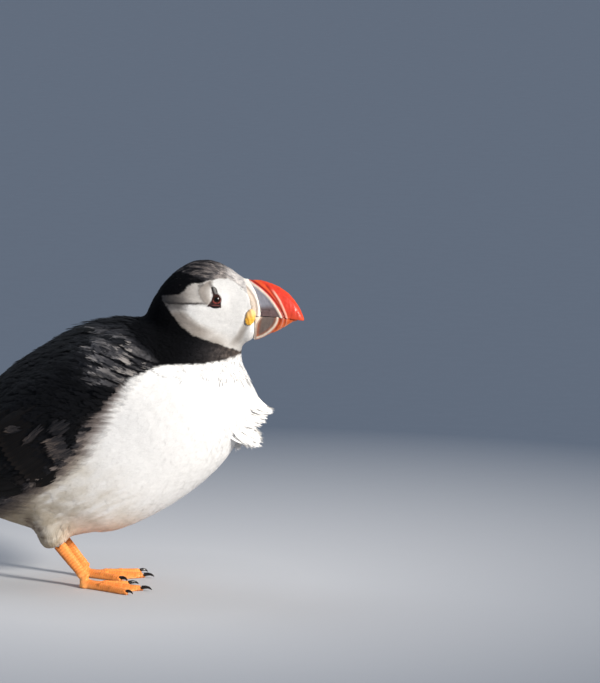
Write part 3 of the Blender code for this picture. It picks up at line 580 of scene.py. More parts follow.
@functools.lru_cache(maxsize=None)
def body_form():
    """The bird's outer shape as one even surface, finer on the head: a mesh and its points."""
    mesh = remeshed((*SKIN_NODES, "eye_left", "eye_right"), 0.3, 1.35, "body_form")
    points, edges = points_of(mesh), edges_of(mesh)
    x, y, z = points.T
    locks = ramp(x, 78, 86) * ramp(np.abs(y), 26, 18) * ramp(z, 76, 82) * ramp(z, 119, 113)
    points = smoothed(points, edges, 220, 0.5 * locks[:, None])
    hip = bump_at(z, 37, 13) * ramp(np.hypot((x + 16) * 0.8, np.abs(y) - 17), 27, 19)
    points = smoothed(points, edges, 90, 0.5 * hip[:, None])
    side_x, _ = laid(points)
    hem = 21.8 + 0.36 * (side_x + 25.7)
    low = ramp(hem - points[:, 2], -1.5, 1.5) * ramp(side_x, -30, -26) * ramp(side_x, 4, -2)
    points[:, 2] += low * (np.maximum(hem - points[:, 2], 0) + 0.4)
    breast = ramp(points[:, 2], 111, 122) * ramp(points[:, 2], 143, 130) * ramp(points[:, 0], 76, 88)
    points[:, 0] -= 2.8 * breast
    points = smoothed(points, edges, 5, 0.5)
    set_points(mesh, points)
    bm = bmesh.new()
    bm.from_mesh(mesh)
    fine = [
        e for e in bm.edges
        if all(v.co.x > ORIGIN[0] + HEAD_REAR * MM and v.co.z > HEAD_FOOT * MM for v in e.verts)
    ]
    bmesh.ops.subdivide_edges(bm, edges=fine, cuts=1, use_grid_fill=True, smooth=0.6)
    bmesh.ops.triangulate(bm, faces=[f for f in bm.faces if len(f.verts) > 4])
    bm.to_mesh(mesh)
    bm.free()
    points = smoothed(points_of(mesh), edges_of(mesh), 2, 0.4)
    set_points(mesh, points)
    return mesh, points


def coat_depth(points):
    """How deep the skin lies under the feathers."""
    x, z = laid(points)
    wide = np.abs(points[:, 1])
    depth = blend(2.2, 1.2, ramp(within(x, z, WHITE_UNDERPARTS), -4, 4))
    depth = blend(depth, 1.3, ramp(z, 126, 134) * ramp(x, 28, 36))
    depth = blend(depth, 0.9, ramp(z, 150, 160) * ramp(x, 28, 36))
    face = ramp(within(x, z, FACE_EDGE), -2, 2)
    depth = blend(depth, 0.5, face * ramp(z, 136, 142))
    eye = np.hypot(x - EYE_PLACE[0], z - EYE_PLACE[1])
    depth = blend(depth, 0.2, ramp(eye, 9, 6) * ramp(wide, 6, 9))
    depth = blend(depth, 0.05, ramp(near_line(x, z, BASE_RIDGE), 5.0, 2.5))
    leg = ramp(points[:, 2], 44, 28) * ramp(np.abs(wide - 17), 14, 9) * ramp(points[:, 0], 5, -4)
    return blend(depth, 1.0, leg)


def sculpted(points, normals):
    """Fine shape pressed into the skin: the furrow behind the eye, the eye's rim, cheek and chin folds."""
    x, z = laid(points)
    side = ramp(np.abs(points[:, 1]), 5, 9)
    furrow = near_line(x, z, EYE_FURROW)
    lift = -0.55 * ramp(furrow, 1.6, 0.0)
    lift = lift + 0.28 * bump_at(z - 166.0, 2.4, 2.0) * ramp(x, 70, 62) * ramp(x, 42, 50)
    crease = near_line(x, z, CHIN_CREASE)
    lift += -0.35 * ramp(crease, 3.0, 0.0)
    fold = x - 63.4 - 0.035 * (z - 173) ** 2
    lid = ramp(z, 166.5, 168.5) * ramp(z, 180, 177)
    lift += (0.10 * bump_at(fold, 1.6, 2.6) - 0.08 * bump_at(fold, -0.3, 2.0)) * lid
    face = ramp(within(x, z, FACE_EDGE), -1, 2) * ramp(z, 136, 140)
    ripple = 0.10 * mottle(points, (5, 3, 2.0), 71)
    points = points + normals * ((lift * side + ripple) * face)[:, None]
    for way in SIDES:
        middle, radius = eye_middle(way)
        away = points - middle
        off = np.linalg.norm(np.cross(away, eye_axis(way)), axis=1)
        reach = np.linalg.norm(away, axis=1)
        near = (off < 6.5) & (away @ eye_axis(way) > 0)
        lid = radius + 0.22 - 1.2 * ramp(off, 2.45, 1.85)
        share = near * ramp(off, 5.5, 3.2)
        wanted = np.where(off < 3.0, lid, np.maximum(reach, lid))
        points = points + away * (share * (wanted / np.maximum(reach, 1e-6) - 1))[:, None]
    return points


@functools.lru_cache(maxsize=None)
def skin_form():
    """The skin: its points, normals, triangles, their UV places, and a search tree over them, in mm."""
    obj = bpy.data.objects["skin"]
    mesh = obj.data
    corners, loops = triangles_of(mesh)
    uv = np.empty(len(mesh.loops) * 2, np.float32)
    mesh.uv_layers["OFBake"].uv.foreach_get("vector", uv)
    points = points_of(mesh)
    tree = BVHTree.FromPolygons(points.tolist(), corners.tolist(), all_triangles=True)
    return points, normals_of(mesh), corners, uv.reshape(-1, 2)[loops], tree


def make_skin():
    """The skin as a piece: the bird's outer shape laid back by the coat's depth, sculpted and painted."""
    form, outer = body_form()
    mesh = form.copy()
    normals = normals_of(mesh)
    edges = edges_of(mesh)
    normals = unit(smoothed(normals, edges, 6))
    depth = smoothed(coat_depth(outer)[:, None], edges, 6)
    points = outer - normals * depth
    points = smoothed(points, edges, 1, 0.35)
    set_points(mesh, points)
    points = sculpted(points, unit(smoothed(normals_of(mesh), edges, 2)))
    set_points(mesh, points)
    mesh.polygons.foreach_set("use_smooth", np.ones(len(mesh.polygons), bool))
    paint(mesh, markings(points))
    obj = show("skin", mesh, skin_material(), "white_plumage", *SKIN_NODES)
    bpy.context.view_layer.objects.active = obj
    obj.select_set(True)
    mesh.uv_layers.new(name="OFBake")
    bpy.ops.object.mode_set(mode="EDIT")
    bpy.ops.mesh.select_all(action="SELECT")
    bpy.ops.uv.smart_project(angle_limit=math.radians(60), island_margin=0.002)
    bpy.ops.object.mode_set(mode="OBJECT")
    obj.select_set(False)


# ---- feathers

# The triangles of a narrow strip, over its seven corners.
STRIP_FACES = np.array(((0, 1, 3), (0, 3, 2), (2, 3, 5), (2, 5, 4), (4, 5, 6)))


def lie(points, normals, disorder, rng):
    """The way feathers point at these places, flat on the surface, with a little disorder."""
    side = np.where(points[:, 1] < 0, -1.0, 1.0)
    folded = points * np.stack((np.ones(len(points)), side, np.ones(len(points))), 1)
    total = np.zeros_like(points)
    for place, way in COMB:
        away = ((folded - np.array(place, float)) ** 2).sum(1)
        total += np.array(way, float) / (away + 60.0)[:, None] ** 2
    total[:, 1] *= side
    total = unit(total)
    total -= normals * (total * normals).sum(1)[:, None]
    total = unit(total)
    across = np.cross(normals, total)
    turn = np.radians(disorder) * (0.6 * mottle(points, 11.0, 81) + 0.5 * rng.standard_normal(len(points)))
    return unit(total * np.cos(turn)[:, None] + across * np.sin(turn)[:, None])


def scattered(density, seed):
    """Places over the skin, density(points) of them for each square mm, evenly thinned: triangle, weights."""
    points, _, corners, _, _ = skin_form()
    rng = np.random.default_rng(seed)
    a, b, c = (points[corners[:, k]] for k in range(3))
    area = np.linalg.norm(np.cross(b - a, c - a), axis=1) / 2
    middle = (a + b + c) / 3
    wanted = area * density(middle)
    over = 4.0
    count = rng.poisson(wanted * over)
    tri = np.repeat(np.arange(len(corners)), count)
    r1, r2 = np.sqrt(rng.random(len(tri))), rng.random(len(tri))
    weights = np.stack((1 - r1, r1 * (1 - r2), r1 * r2), 1)
    at = (points[corners[tri]] * weights[:, :, None]).sum(1)
    local = density(at)
    size = 1 / np.sqrt(np.maximum(local, 1e-6))
    step = 2.0 ** (np.round(np.log2(size) * 4) / 4)
    key = np.floor(at / step[:, None]).astype(np.int64)
    order = rng.permutation(len(tri))
    whole = np.concatenate((key, (step * 1000).astype(np.int64)[:, None]), 1)[order]
    _, first = np.unique(whole, axis=0, return_index=True)
    keep = order[np.sort(first)]
    # a cube grid meets a slanted surface more often than once for each cell's face, so some are dropped again
    keep = keep[rng.random(len(keep)) < 0.72]
    return tri[keep], weights[keep], at[keep]


def rooted(tri, weights):
    """Skin normals and UV places at scattered roots."""
    _, normals, corners, uv, _ = skin_form()
    normal = unit((normals[corners[tri]] * weights[:, :, None]).sum(1))
    return normal, (uv[tri] * weights[:, :, None]).sum(1)


def combed(roots, normals, ways, lengths, steps):
    """Each feather's course over the skin: at steps places, the point, its way and the skin's normal."""
    _, skin_normals, corners, _, tree = skin_form()
    place, way = roots.copy(), ways.copy()
    courses, courses_way, courses_normal = [roots], [ways], [normals]
    for _ in range(steps - 1):
        ahead = place + way * (lengths / (steps - 1))[:, None]
        hit = [tree.find_nearest(Vector(p)) for p in ahead]
        place = np.array([h[0] for h in hit])
        face = np.array([h[2] for h in hit])
        normal = unit(skin_normals[corners[face]].mean(1))
        way = unit(way - normal * (way * normal).sum(1)[:, None])
        courses.append(place)
        courses_way.append(way)
        courses_normal.append(normal)
    return np.stack(courses, 1), np.stack(courses_way, 1), np.stack(courses_normal, 1)


def pattern_of(places, faces, barb, starts, out):
    """A feather's flat pattern, its faces turned to look away from the skin."""
    places, faces = np.array(places), np.array(faces)
    a, b, c = (places[faces[:, k]] for k in range(3))
    area = (b[:, 0] - a[:, 0]) * (c[:, 1] - a[:, 1]) - (b[:, 1] - a[:, 1]) * (c[:, 0] - a[:, 0])
    faces[area < 0] = faces[area < 0][:, ::-1]
    return SimpleNamespace(
        places=places, faces=faces, barb=np.array(barb), starts=np.array(starts), out=np.array(out)
    )


def barbed_pattern(barbs, rounded, blade):
    """Barbs that leave a shaft and sweep to the feather's edge."""
    places, faces, barb, starts, out = [], [], [], [], []
    plan = [(0.0, 0.45, 1.0, 0.0)]
    for k in range(barbs):
        u0 = 0.02 + 0.74 * k / max(barbs - 1, 1)
        for side in SIDES:
            end = min(0.98, u0 + 0.34 + 0.05 * math.sin(2.1 * k + side))
            reach = math.sin(math.pi * min(1, end**0.75 * 0.92)) ** rounded if end < 0.98 else 0.42
            plan.append((side, u0, end, side * reach))
    for index, (side, u0, u1, w) in enumerate(plan):
        f = len(places)
        way = np.array((w, (u1 - u0) * 2.2))
        way = way / max(np.hypot(*way), 1e-6)
        for t, half in ((0.0, 0.85), (0.4, 1.0), (0.78, 0.8), (1.0, 0.0)):
            for sign in (-1, 1) if half else (0,):
                shift = sign * half * blade
                places.append((w * t**0.8 - way[1] * shift, u0 + (u1 - u0) * t + way[0] * shift * 0.45))
                barb.append(index)
                starts.append((0.0, u0))
                out.append(t)
        faces += (STRIP_FACES + f).tolist()
    return pattern_of(places, faces, barb, starts, out)


def plume_pattern(strips, blade):
    """A silky feather or tuft: strips that spread from one root and run on side by side to a soft end."""
    spread, ragged = 0.85, 0.22
    places, faces, barb, starts, out = [], [], [], [], []
    for index in range(strips):
        v = 0.0 if strips == 1 else 2 * index / (strips - 1) - 1
        reach = 1 - ragged * v * v - 0.06 * (index % 2)
        f = len(places)
        for t, half in ((0.0, 0.6), (0.45, 1.0), (0.8, 0.75), (1.0, 0.0)):
            middle = v * spread * (0.25 + 0.75 * math.sin(math.pi / 2 * min(1, 1.5 * t)))
            for sign in (-1, 1) if half else (0,):
                places.append((middle + sign * half * blade, reach * t))
                barb.append(index)
                starts.append((0.0, 0.0))
                out.append(t)
        faces += (STRIP_FACES + f).tolist()
    return pattern_of(places, faces, barb, starts, out)


def vane_pattern(rows, columns, pointed):
    """A long stiff feather with a raised shaft: a grid closing to a rounded tip."""
    places, faces = [], []
    across = np.linspace(-1, 1, columns)
    across = np.sort(np.concatenate((across[across != 0], (-0.05, 0.0, 0.05))))
    for k in range(rows):
        u = k / (rows - 1)
        width = min(1.0, 0.35 + 2.6 * u) * (1 - max(0.0, (u - pointed) / (1 - pointed)) ** 2.2) ** 0.5
        for v in across:
            places.append((v * max(width, 0.03), u - 0.02 * abs(v) * (1 - u)))
    n = len(across)
    for k in range(rows - 1):
        for j in range(n - 1):
            a, b = k * n + j, (k + 1) * n + j
            faces += [(a, a + 1, b + 1), (a, b + 1, b)]
    flat = np.array(places)
    return pattern_of(places, faces, np.zeros(len(flat), int), np.zeros_like(flat), np.abs(flat[:, 0]))


def grown_feathers(pattern, course, widths, heights, rng, uneven, camber, flutter=0.0, rounding=0.35):
    """Feathers laid along their courses. heights(u) gives the rise over the skin at places along a feather.
    They are shaded by the skin's normals, turned a little towards each feather's edges."""
    line, way, normal = course
    count, steps = line.shape[:2]
    barbs = pattern.barb.max() + 1
    shrink = (1 + uneven * (rng.random((count, barbs)) - 0.75))[:, pattern.barb][..., None]
    flat = pattern.starts[None] + (pattern.places - pattern.starts)[None] * shrink
    across, along = flat[..., 0], np.clip(flat[..., 1], 0, 1)
    at = along * (steps - 1)
    i = np.minimum(at.astype(int), steps - 2)
    t = (at - i)[..., None]
    rows = np.arange(count)[:, None]

    def between(values):
        return values[rows, i] * (1 - t) + values[rows, i + 1] * t

    n = unit(between(normal))
    side = np.cross(unit(between(way)), n)
    half = widths[:, None] / 2
    rise = heights(along) - camber * half * np.abs(across) ** 1.6
    if flutter:
        rise = rise + flutter * pattern.out[None] * (rng.random((count, barbs))[:, pattern.barb] - 0.3)
    points = between(line) + side * (across * half)[..., None] + n * rise[..., None]
    m = len(pattern.places)
    length = np.linalg.norm(np.diff(line, axis=1), axis=2).sum(1)[:, None]
    return SimpleNamespace(
        points=points.reshape(-1, 3),
        faces=(pattern.faces[None] + (np.arange(count) * m)[:, None, None]).reshape(-1, 3),
        feather=np.repeat(np.arange(count), m),
        strand=(np.arange(count)[:, None] * barbs + pattern.barb[None]).ravel(),
        local=np.stack((across * half, along * length), 2).reshape(-1, 2),
        patch=np.stack((np.clip(across, -1, 1) * 0.5, along - 0.5), 2).reshape(-1, 2),
        normals=unit(n + side * (across * rounding)[..., None]).reshape(-1, 3),
    )


def coat_piece(name, parts, seats, colours, material, slot, *nodes):
    """Feathers as a finished piece, with the baking map laid at each root and a map in mm over each."""
    mesh = mesh_of(name, parts.points, parts.faces)
    add_uv(mesh, "OFBake", seats[parts.feather] + BAKE_PATCH * parts.patch)
    rng = np.random.default_rng(len(parts.points))
    add_uv(mesh, "Barbs", parts.local + rng.random((parts.feather.max() + 1, 2))[parts.feather] * 50)
    paint(mesh, colours)
    mesh.normals_split_custom_set_from_vertices(parts.normals.tolist())
    show(name, mesh, material, slot, *nodes)


def strand_middles(parts):
    """For each point, the middle of the barb or strip that it belongs to."""
    count = np.maximum(np.bincount(parts.strand), 1)
    middle = np.stack([np.bincount(parts.strand, column) / count for column in parts.points.T], 1)
    return middle[parts.strand]


def feather_colours(parts, line, pull, rng, vary):
    """Each feather's colour: the markings between its middle and each point, with its own lightness."""
    middle = line[:, line.shape[1] * 3 // 5]
    colours = markings(middle[parts.feather] * pull + parts.points * (1 - pull))
    shade = 1 + vary * rng.standard_normal(len(line))
    return colours * shade[parts.feather][:, None]


# ---- materials

def new_material(name):
    material = bpy.data.materials.new(name)
    material.use_nodes = True
    nodes = material.node_tree.nodes
    nodes.clear()
    out = nodes.new("ShaderNodeOutputMaterial")
    shader = nodes.new("ShaderNodeBsdfPrincipled")
    material.node_tree.links.new(shader.outputs[0], out.inputs["Surface"])
    return material, nodes, material.node_tree.links, shader


def attribute(nodes, name):
    node = nodes.new("ShaderNodeAttribute")
    node.attribute_name = name
    return node


def mapped(nodes, links, source, scale):
    node = nodes.new("ShaderNodeMapping")
    node.inputs["Scale"].default_value = scale
    links.new(source, node.inputs["Vector"])
    return node.outputs[0]


def noise(nodes, links, vector, scale, detail=3.0, rough=0.6):
    node = nodes.new("ShaderNodeTexNoise")
    node.inputs["Scale"].default_value = scale
    node.inputs["Detail"].default_value = detail
    node.inputs["Roughness"].default_value = rough
    links.new(vector, node.inputs["Vector"])
    return node.outputs["Fac"]


def ranged(nodes, links, value, low, high, to_low, to_high):
    node = nodes.new("ShaderNodeMapRange")
    for socket, number in zip(("From Min", "From Max", "To Min", "To Max"), (low, high, to_low, to_high)):
        node.inputs[socket].default_value = number
    links.new(value, node.inputs["Value"])
    return node.outputs[0]


def tinted(nodes, links, colour, amount):
    """colour times amount."""
    node = nodes.new("ShaderNodeMix")
    node.data_type = "RGBA"
    node.blend_type = "MULTIPLY"
    node.inputs["Factor"].default_value = 1.0
    links.new(colour, node.inputs[6])
    links.new(amount, node.inputs[7])
    return node.outputs[2]


def bumped(nodes, links, shader, height, depth):
    """Makes the surface stand out by depth mm where height is 1."""
    node = nodes.new("ShaderNodeBump")
    node.inputs["Strength"].default_value = 1.0
    node.inputs["Distance"].default_value = depth * MM
    links.new(height, node.inputs["Height"])
    links.new(node.outputs[0], shader.inputs["Normal"])


def feather_material(name, rough, shine, barb_depth, through):
    """Feather vanes: their own colour, fine barbs drawn along them, and some light let through."""
    material, nodes, links, shader = new_material(name)
    colour = attribute(nodes, "Plumage").outputs["Color"]
    uv = nodes.new("ShaderNodeUVMap")
    uv.uv_map = "Barbs"
    barbs = noise(nodes, links, mapped(nodes, links, uv.outputs[0], (5.0, 0.7, 1.0)), 1.0, 4.0, 0.65)
    vane = tinted(nodes, links, colour, ranged(nodes, links, barbs, 0.3, 0.7, 0.85, 1.10))
    links.new(vane, shader.inputs["Base Color"])
    links.new(ranged(nodes, links, barbs, 0.3, 0.7, rough - 0.06, rough + 0.1), shader.inputs["Roughness"])
    shader.inputs["Specular IOR Level"].default_value = shine
    bumped(nodes, links, shader, barbs, barb_depth)
    if through:
        thin = nodes.new("ShaderNodeBsdfTranslucent")
        links.new(vane, thin.inputs["Color"])
        both = nodes.new("ShaderNodeMixShader")
        both.inputs["Fac"].default_value = through
        links.new(shader.outputs[0], both.inputs[1])
        links.new(thin.outputs[0], both.inputs[2])
        links.new(both.outputs[0], nodes["Material Output"].inputs["Surface"])
    return material


@functools.lru_cache(maxsize=None)
def soft_feather():
    return feather_material("soft_feather", 0.85, 0.10, 0.05, 0.10)


@functools.lru_cache(maxsize=None)
def firm_feather():
    return feather_material("firm_feather", 0.60, 0.12, 0.12, 0.0)


@functools.lru_cache(maxsize=None)
def silky_feather():
    return feather_material("silky_feather", 0.80, 0.06, 0.08, 0.0)


@functools.lru_cache(maxsize=None)
def skin_material():
    material, nodes, links, shader = new_material("feathered_skin")
    colour = attribute(nodes, "Plumage").outputs["Color"]
    place = nodes.new("ShaderNodeTexCoord").outputs["Object"]
    down = noise(nodes, links, place, 900.0, 4.0, 0.7)
    shade = ranged(nodes, links, down, 0.3, 0.7, 0.8, 1.1)
    links.new(tinted(nodes, links, colour, shade), shader.inputs["Base Color"])
    links.new(ranged(nodes, links, down, 0.3, 0.7, 0.7, 0.9), shader.inputs["Roughness"])
    shader.inputs["Specular IOR Level"].default_value = 0.25
    bumped(nodes, links, shader, down, 0.25)
    return material


# ---- coat

def feather_length(points):
    """How long the feathers are at these places, in mm."""
    x, z = laid(points)
    s, _ = on_axis(points)
    length = np.full(len(points), 10.5)
    black = ramp(within(x, z, WHITE_UNDERPARTS), 1, -2)
    length = blend(length, 14.0, black * ramp(s, 0, -25))
    length = blend(length, 15.5, black * ramp(s, -5, 15) * ramp(z, 112, 124))
    length = blend(length, 6.5, leg_share(points))
    hood = ramp(z, 127, 133) * ramp(x, 26, 34)
    length = blend(length, 5.0, hood)
    length = blend(length, 4.0, ramp(z, 158, 166) * hood)
    face = face_area(points)
    length = blend(length, 3.4, face)
    return blend(length, 2.2, face * ramp(x, 62, 78))


def leg_share(points):
    """1 on the feathered part of the legs and 0 elsewhere."""
    wide = np.abs(points[:, 1])
    return ramp(points[:, 2], 42, 32) * ramp(np.abs(wide - 17), 15, 10) * ramp(points[:, 0], 0, -6)


def kept_clear(points):
    """Where no feather may lie: the eye with its plates, and the gape's rosette."""
    x, z = laid(points)
    eye = within(x, z, EYE_PATCH) > -0.15
    rosette = ((x - 94.6) / 2.9) ** 2 + ((z - 159.8) / 5.2) ** 2 < 1
    return (eye | rosette) & (np.abs(points[:, 1]) > 4)


def feather_coat(
    wanted, seed, pattern, share, width, disorder, rise, camber, uneven, flutter, pull, vary,
    untidy=0.12, rounding=0.12, sides=SIDES, shorter=1.0,
):
    """Feathers where wanted(points) is above chance. share is how closely they stand, width their breadth as
    a share of their length, rise how much of the coat's depth their ends fill."""
    rng = np.random.default_rng(seed)
    share = share * bpy.context.scene.puffin_plumage.closeness

    def density(points):
        return share * wanted(points) / (feather_length(points) ** 2 * width * 0.2)

    tri, weights, roots = scattered(density, seed)
    keep = np.isin(np.where(roots[:, 1] < 0, -1, 1), sides)
    tri, weights, roots = tri[keep], weights[keep], roots[keep]
    normals, seats = rooted(tri, weights)
    ways = lie(roots, normals, disorder, rng)
    lengths = shorter * feather_length(roots) * (1 + 0.12 * rng.standard_normal(len(roots)))
    steps = 5
    course = combed(roots, normals, ways, lengths, steps)
    clear = ~np.any([kept_clear(course[0][:, k]) for k in range(steps)], axis=0)
    course = tuple(c[clear] for c in course)
    seats, lengths = seats[clear], lengths[clear]
    ruffled = 0.3 + 0.7 * ramp(within(*laid(course[0][:, 2]), SHOULDER), -12, 2)
    tall = coat_depth(course[0][:, -1]) * rise * np.exp(untidy * ruffled * rng.standard_normal(len(lengths)))
    widths = lengths * width * (1 + 0.1 * rng.standard_normal(len(lengths)))
    parts = grown_feathers(
        pattern, course, widths, lambda u: -0.2 + (tall[:, None] + 0.2) * u**0.7, rng,
        uneven, camber, flutter, rounding,
    )
    return parts, seats, feather_colours(parts, course[0], pull, rng, vary), course


def grown_on_sides(name, slot, material, seed, **settings):
    """A coat piece for each side of the bird."""
    for index, side in enumerate(SIDES):
        parts, seats, colours, _ = feather_coat(seed=seed + index, sides=(side,), **settings)
        coat_piece(f"{name}_{side_name(side)}", parts, seats, colours, material, slot)


def hood_area(points):
    x, z = laid(points)
    return ramp(z, 126.5, 131.5) * ramp(x, 24, 31)


def face_area(points):
    x, z = laid(points)
    return ramp(within(x, z, FACE_EDGE), -1.0, -0.4) * ramp(z, 136.5, 138.5)


def white_area(points):
    x, z = laid(points)
    white = ramp(within(x, z, WHITE_UNDERPARTS), -3.0, -1.0)
    return white * (1 - leg_share(points)) * (1 - face_area(points))


def black_area(points):
    x, z = laid(points)
    return ramp(within(x, z, WHITE_UNDERPARTS), 1.0, -0.5) * (1 - hood_area(points))


def lock_rows(x, z):
    """0 in the painted shadow of the gaps under the locks of shoulder feathers, 1 on the locks."""
    rows = np.ones(len(x))
    for line in LOCK_GAPS:
        away, side = to_line(x, z, line)
        close = ramp(near_line(x, z, line), 2.2, 1.6)
        # painted shadow: sharp above each gap line, fading out gradually below it
        open_gap = np.where(side > 0, ramp(away, 0.1, 0.5), ramp(away, 0.3, 1.7))
        rows = rows * (1 - close * (1 - open_gap))
    return rows


def lock_streaks(points, fine, seed):
    """Values from 0 to 1, drawn out along the shoulder's locks and fine mm apart across them."""
    x, z = laid(points)
    c, s = math.cos(LOCK_SLOPE), math.sin(LOCK_SLOPE)
    turned = np.stack((x * c + z * s, points[:, 1], z * c - x * s), 1)
    return 0.5 + 0.5 * mottle(turned, (9.0, 6.0, fine), seed)


def side_name(side):
    return "left" if side > 0 else "right"


# ---- long feathers of the wings and tail

@functools.lru_cache(maxsize=None)
def flight_form():
    """The wings, their tips and the rump as one coarse surface that long feathers are laid on."""
    mesh = remeshed(
        ("wing_left", "wing_right", "wing_tip_left", "wing_tip_right", "trunk_back", "trunk_belly", "tail"),
        0.3, 2.0, "flight_form",
    )
    points = smoothed(points_of(mesh), edges_of(mesh), 4)
    set_points(mesh, points)
    corners, _ = triangles_of(mesh)
    tree = BVHTree.FromPolygons(points.tolist(), corners.tolist(), all_triangles=True)
    return tree, corners, normals_of(mesh)


def from_axis(s, across, n):
    """A point given along, across and above the trunk's axis."""
    c, k = math.cos(TRUNK_PITCH), math.sin(TRUNK_PITCH)
    return np.array((TRUNK_MIDDLE[0] + s * c - n * k, across, TRUNK_MIDDLE[1] + s * k + n * c))


def laid_on_side(path, side, lift):
    """A long feather's course: a line (s, n) in the side view, brought down onto the wing's surface."""
    tree, corners, normals = flight_form()
    points, ups = [], []
    for s, n in path:
        start = from_axis(s, side * 120.0, n)
        hit = tree.ray_cast(Vector(start), Vector((0, -side, 0)))
        if hit[0] is None or hit[0][1] * side < 1.0:
            points.append(None)
            ups.append(None)
            continue
        points.append(np.array(hit[0]))
        ups.append(unit(normals[corners[hit[2]]].mean(0)))
    known = [k for k, p in enumerate(points) if p is not None]
    for k, (s, n) in enumerate(path):
        if points[k] is None:
            near = min(known, key=lambda j: abs(j - k))
            points[k] = from_axis(s, points[near][1], n)
            ups[k] = ups[near]
    points, ups = np.array(points), np.array(ups)
    for _ in range(3):
        points[1:-1, 1] = (points[:-2, 1] + 2 * points[1:-1, 1] + points[2:, 1]) / 4
        ups[1:-1] = unit(ups[:-2] + 2 * ups[1:-1] + ups[2:])
    points = points + ups * np.asarray(lift).reshape(-1, 1)
    ways = unit(np.gradient(points, axis=0))
    ups = unit(ups - ways * (ups * ways).sum(1)[:, None])
    return points, ways, ups


def resampled(path, count):
    path = np.array(path, float)
    at = np.concatenate(((0,), np.cumsum(np.hypot(*np.diff(path, axis=0).T))))
    where = np.linspace(0, at[-1], count)
    return np.stack([np.interp(where, at, path[:, k]) for k in range(2)], 1)


def nearest_seat(points):
    """The baking place on the skin nearest to each point."""
    _, _, _, uv, tree = skin_form()
    return np.array([uv[tree.find_nearest(Vector(p))[2]].mean(0) for p in points])


def long_feathers(side):
    """Courses and widths of one wing's primaries and secondaries."""
    courses, widths = [], []
    low, high = resampled(LOW_PRIMARY, 40), resampled(HIGH_PRIMARY, 40)
    for k in range(PRIMARIES):
        share = k / (PRIMARIES - 1)
        path = low * (1 - share) + high * share
        reach = path[:, 0] > -109.5 + 5.6 * k
        path = resampled(path[reach], STEPS_LONG)
        lift = np.linspace(-2.2, 0.2 + 0.08 * k, STEPS_LONG)
        courses.append(laid_on_side(path, side, lift))
        widths.append(9.5 - 0.1 * k)
    for k in range(SECONDARIES):
        share = k / (SECONDARIES - 1)
        start = np.array((14 - 14 * share, 4.5 + 32 * share))
        end = np.array((-48 - 6 * math.sin(2.6 * share), -4.0 + 40 * share ** 0.9))
        bend = np.array((0, -1.5 * (1 - share)))
        places = np.linspace(0, 1, STEPS_LONG)
        path = [start * (1 - t) + end * t + bend * math.sin(math.pi * t) for t in places]
        lift = np.linspace(-2.6, 0.5 + 0.05 * k, STEPS_LONG)
        courses.append(laid_on_side(path, side, lift))
        widths.append(9.5)
    return courses, np.array(widths)


def stacked(courses):
    """One array each for the places, ways and normals of several courses."""
    return tuple(np.stack([course[k] for course in courses]) for k in range(3))


def long_piece(name, courses, widths, node, rng, rows):
    """Stiff feathers with a raised shaft and a nicked edge, as one piece of thin closed sheets."""
    course = stacked(courses)
    pattern = vane_pattern(rows, 9, 0.72)
    parts = grown_feathers(pattern, course, widths, np.zeros_like, rng, 0.0, 0.16)
    across, along = pattern.places.T
    ridge = np.tile(np.abs(across) < 0.03, len(courses))
    normal = np.repeat(course[2].mean(1), len(across), 0)
    place = np.stack((parts.feather * 9.7, parts.local[:, 1] * 0.45, np.sign(parts.local[:, 0]) * 3), 1)
    nicks = ramp(mottle(place, 1.0, 95), 0.35, 0.9) * np.tile(np.abs(across) > 0.6, len(courses))
    parts.points = parts.points + normal * (0.35 * ridge - 0.5 * nicks)[:, None]
    shade = 1 + 0.25 * rng.standard_normal(len(courses))
    tint = palette("puffin_plumage")
    colours = tint.flight * np.clip(shade, 0.5, 1.8)[parts.feather][:, None]
    margin = ramp(np.abs(across), 0.6, 1.0) + 0.6 * ramp(along, 0.9, 1.0)
    margin = np.tile(np.clip(margin, 0, 1), len(courses))
    colours = mix(colours, tint.brown, 0.07 * margin)
    colours = mix(colours, tint.brown, 0.10 * ridge)
    parts.points, parts.faces = shelled(parts.points, parts.faces, normal, 0.18)
    for key in ("feather", "local", "patch"):
        value = getattr(parts, key)
        setattr(parts, key, np.concatenate((value, value)))
    parts.normals = np.concatenate((parts.normals, -parts.normals))
    seats = nearest_seat(course[0].mean(1))
    coat_piece(name, parts, seats, np.concatenate((colours, colours)), firm_feather(), "black_plumage", node)


def shelled(points, faces, normals, thickness):
    """A thin closed sheet: the same surface again underneath, turned round, and its rims joined."""
    count = len(points)
    ends = np.concatenate([faces[:, [0, 1]], faces[:, [1, 2]], faces[:, [2, 0]]])
    key = np.sort(ends, 1)
    _, index, times = np.unique(key, axis=0, return_inverse=True, return_counts=True)
    rim = ends[times[index.reshape(-1)] == 1]
    sides = np.concatenate((
        np.stack((rim[:, 1], rim[:, 0], rim[:, 0] + count), 1),
        np.stack((rim[:, 1], rim[:, 0] + count, rim[:, 1] + count), 1),
    ))
    sheet = np.concatenate((points, points - normals * thickness))
    return sheet, np.concatenate((faces, faces[:, ::-1] + count, sides))


# ---- bill

@functools.lru_cache(maxsize=None)
def rounded(line):
    """An open line with its corners cut off."""
    for _ in range(2):
        cut = [line[0]]
        for (ax, az), (bx, bz) in zip(line, line[1:]):
            cut.append((0.75 * ax + 0.25 * bx, 0.75 * az + 0.25 * bz))
            cut.append((0.25 * ax + 0.75 * bx, 0.25 * az + 0.75 * bz))
        line = (*cut, line[-1])
    return line


def bill_marks(points, upper):
    """Distances, in the side view, from the bill's own lines: base ridge, cream line and pale groove."""
    x, z = laid(points)
    marks = []
    for line in (BASE_RIDGE, CREAM_LINE if upper else LOWER_CREAM_LINE, PALE_GROOVE):
        away, side = to_line(x, z, rounded(line))
        marks.append(away * side)
    return x, z, marks


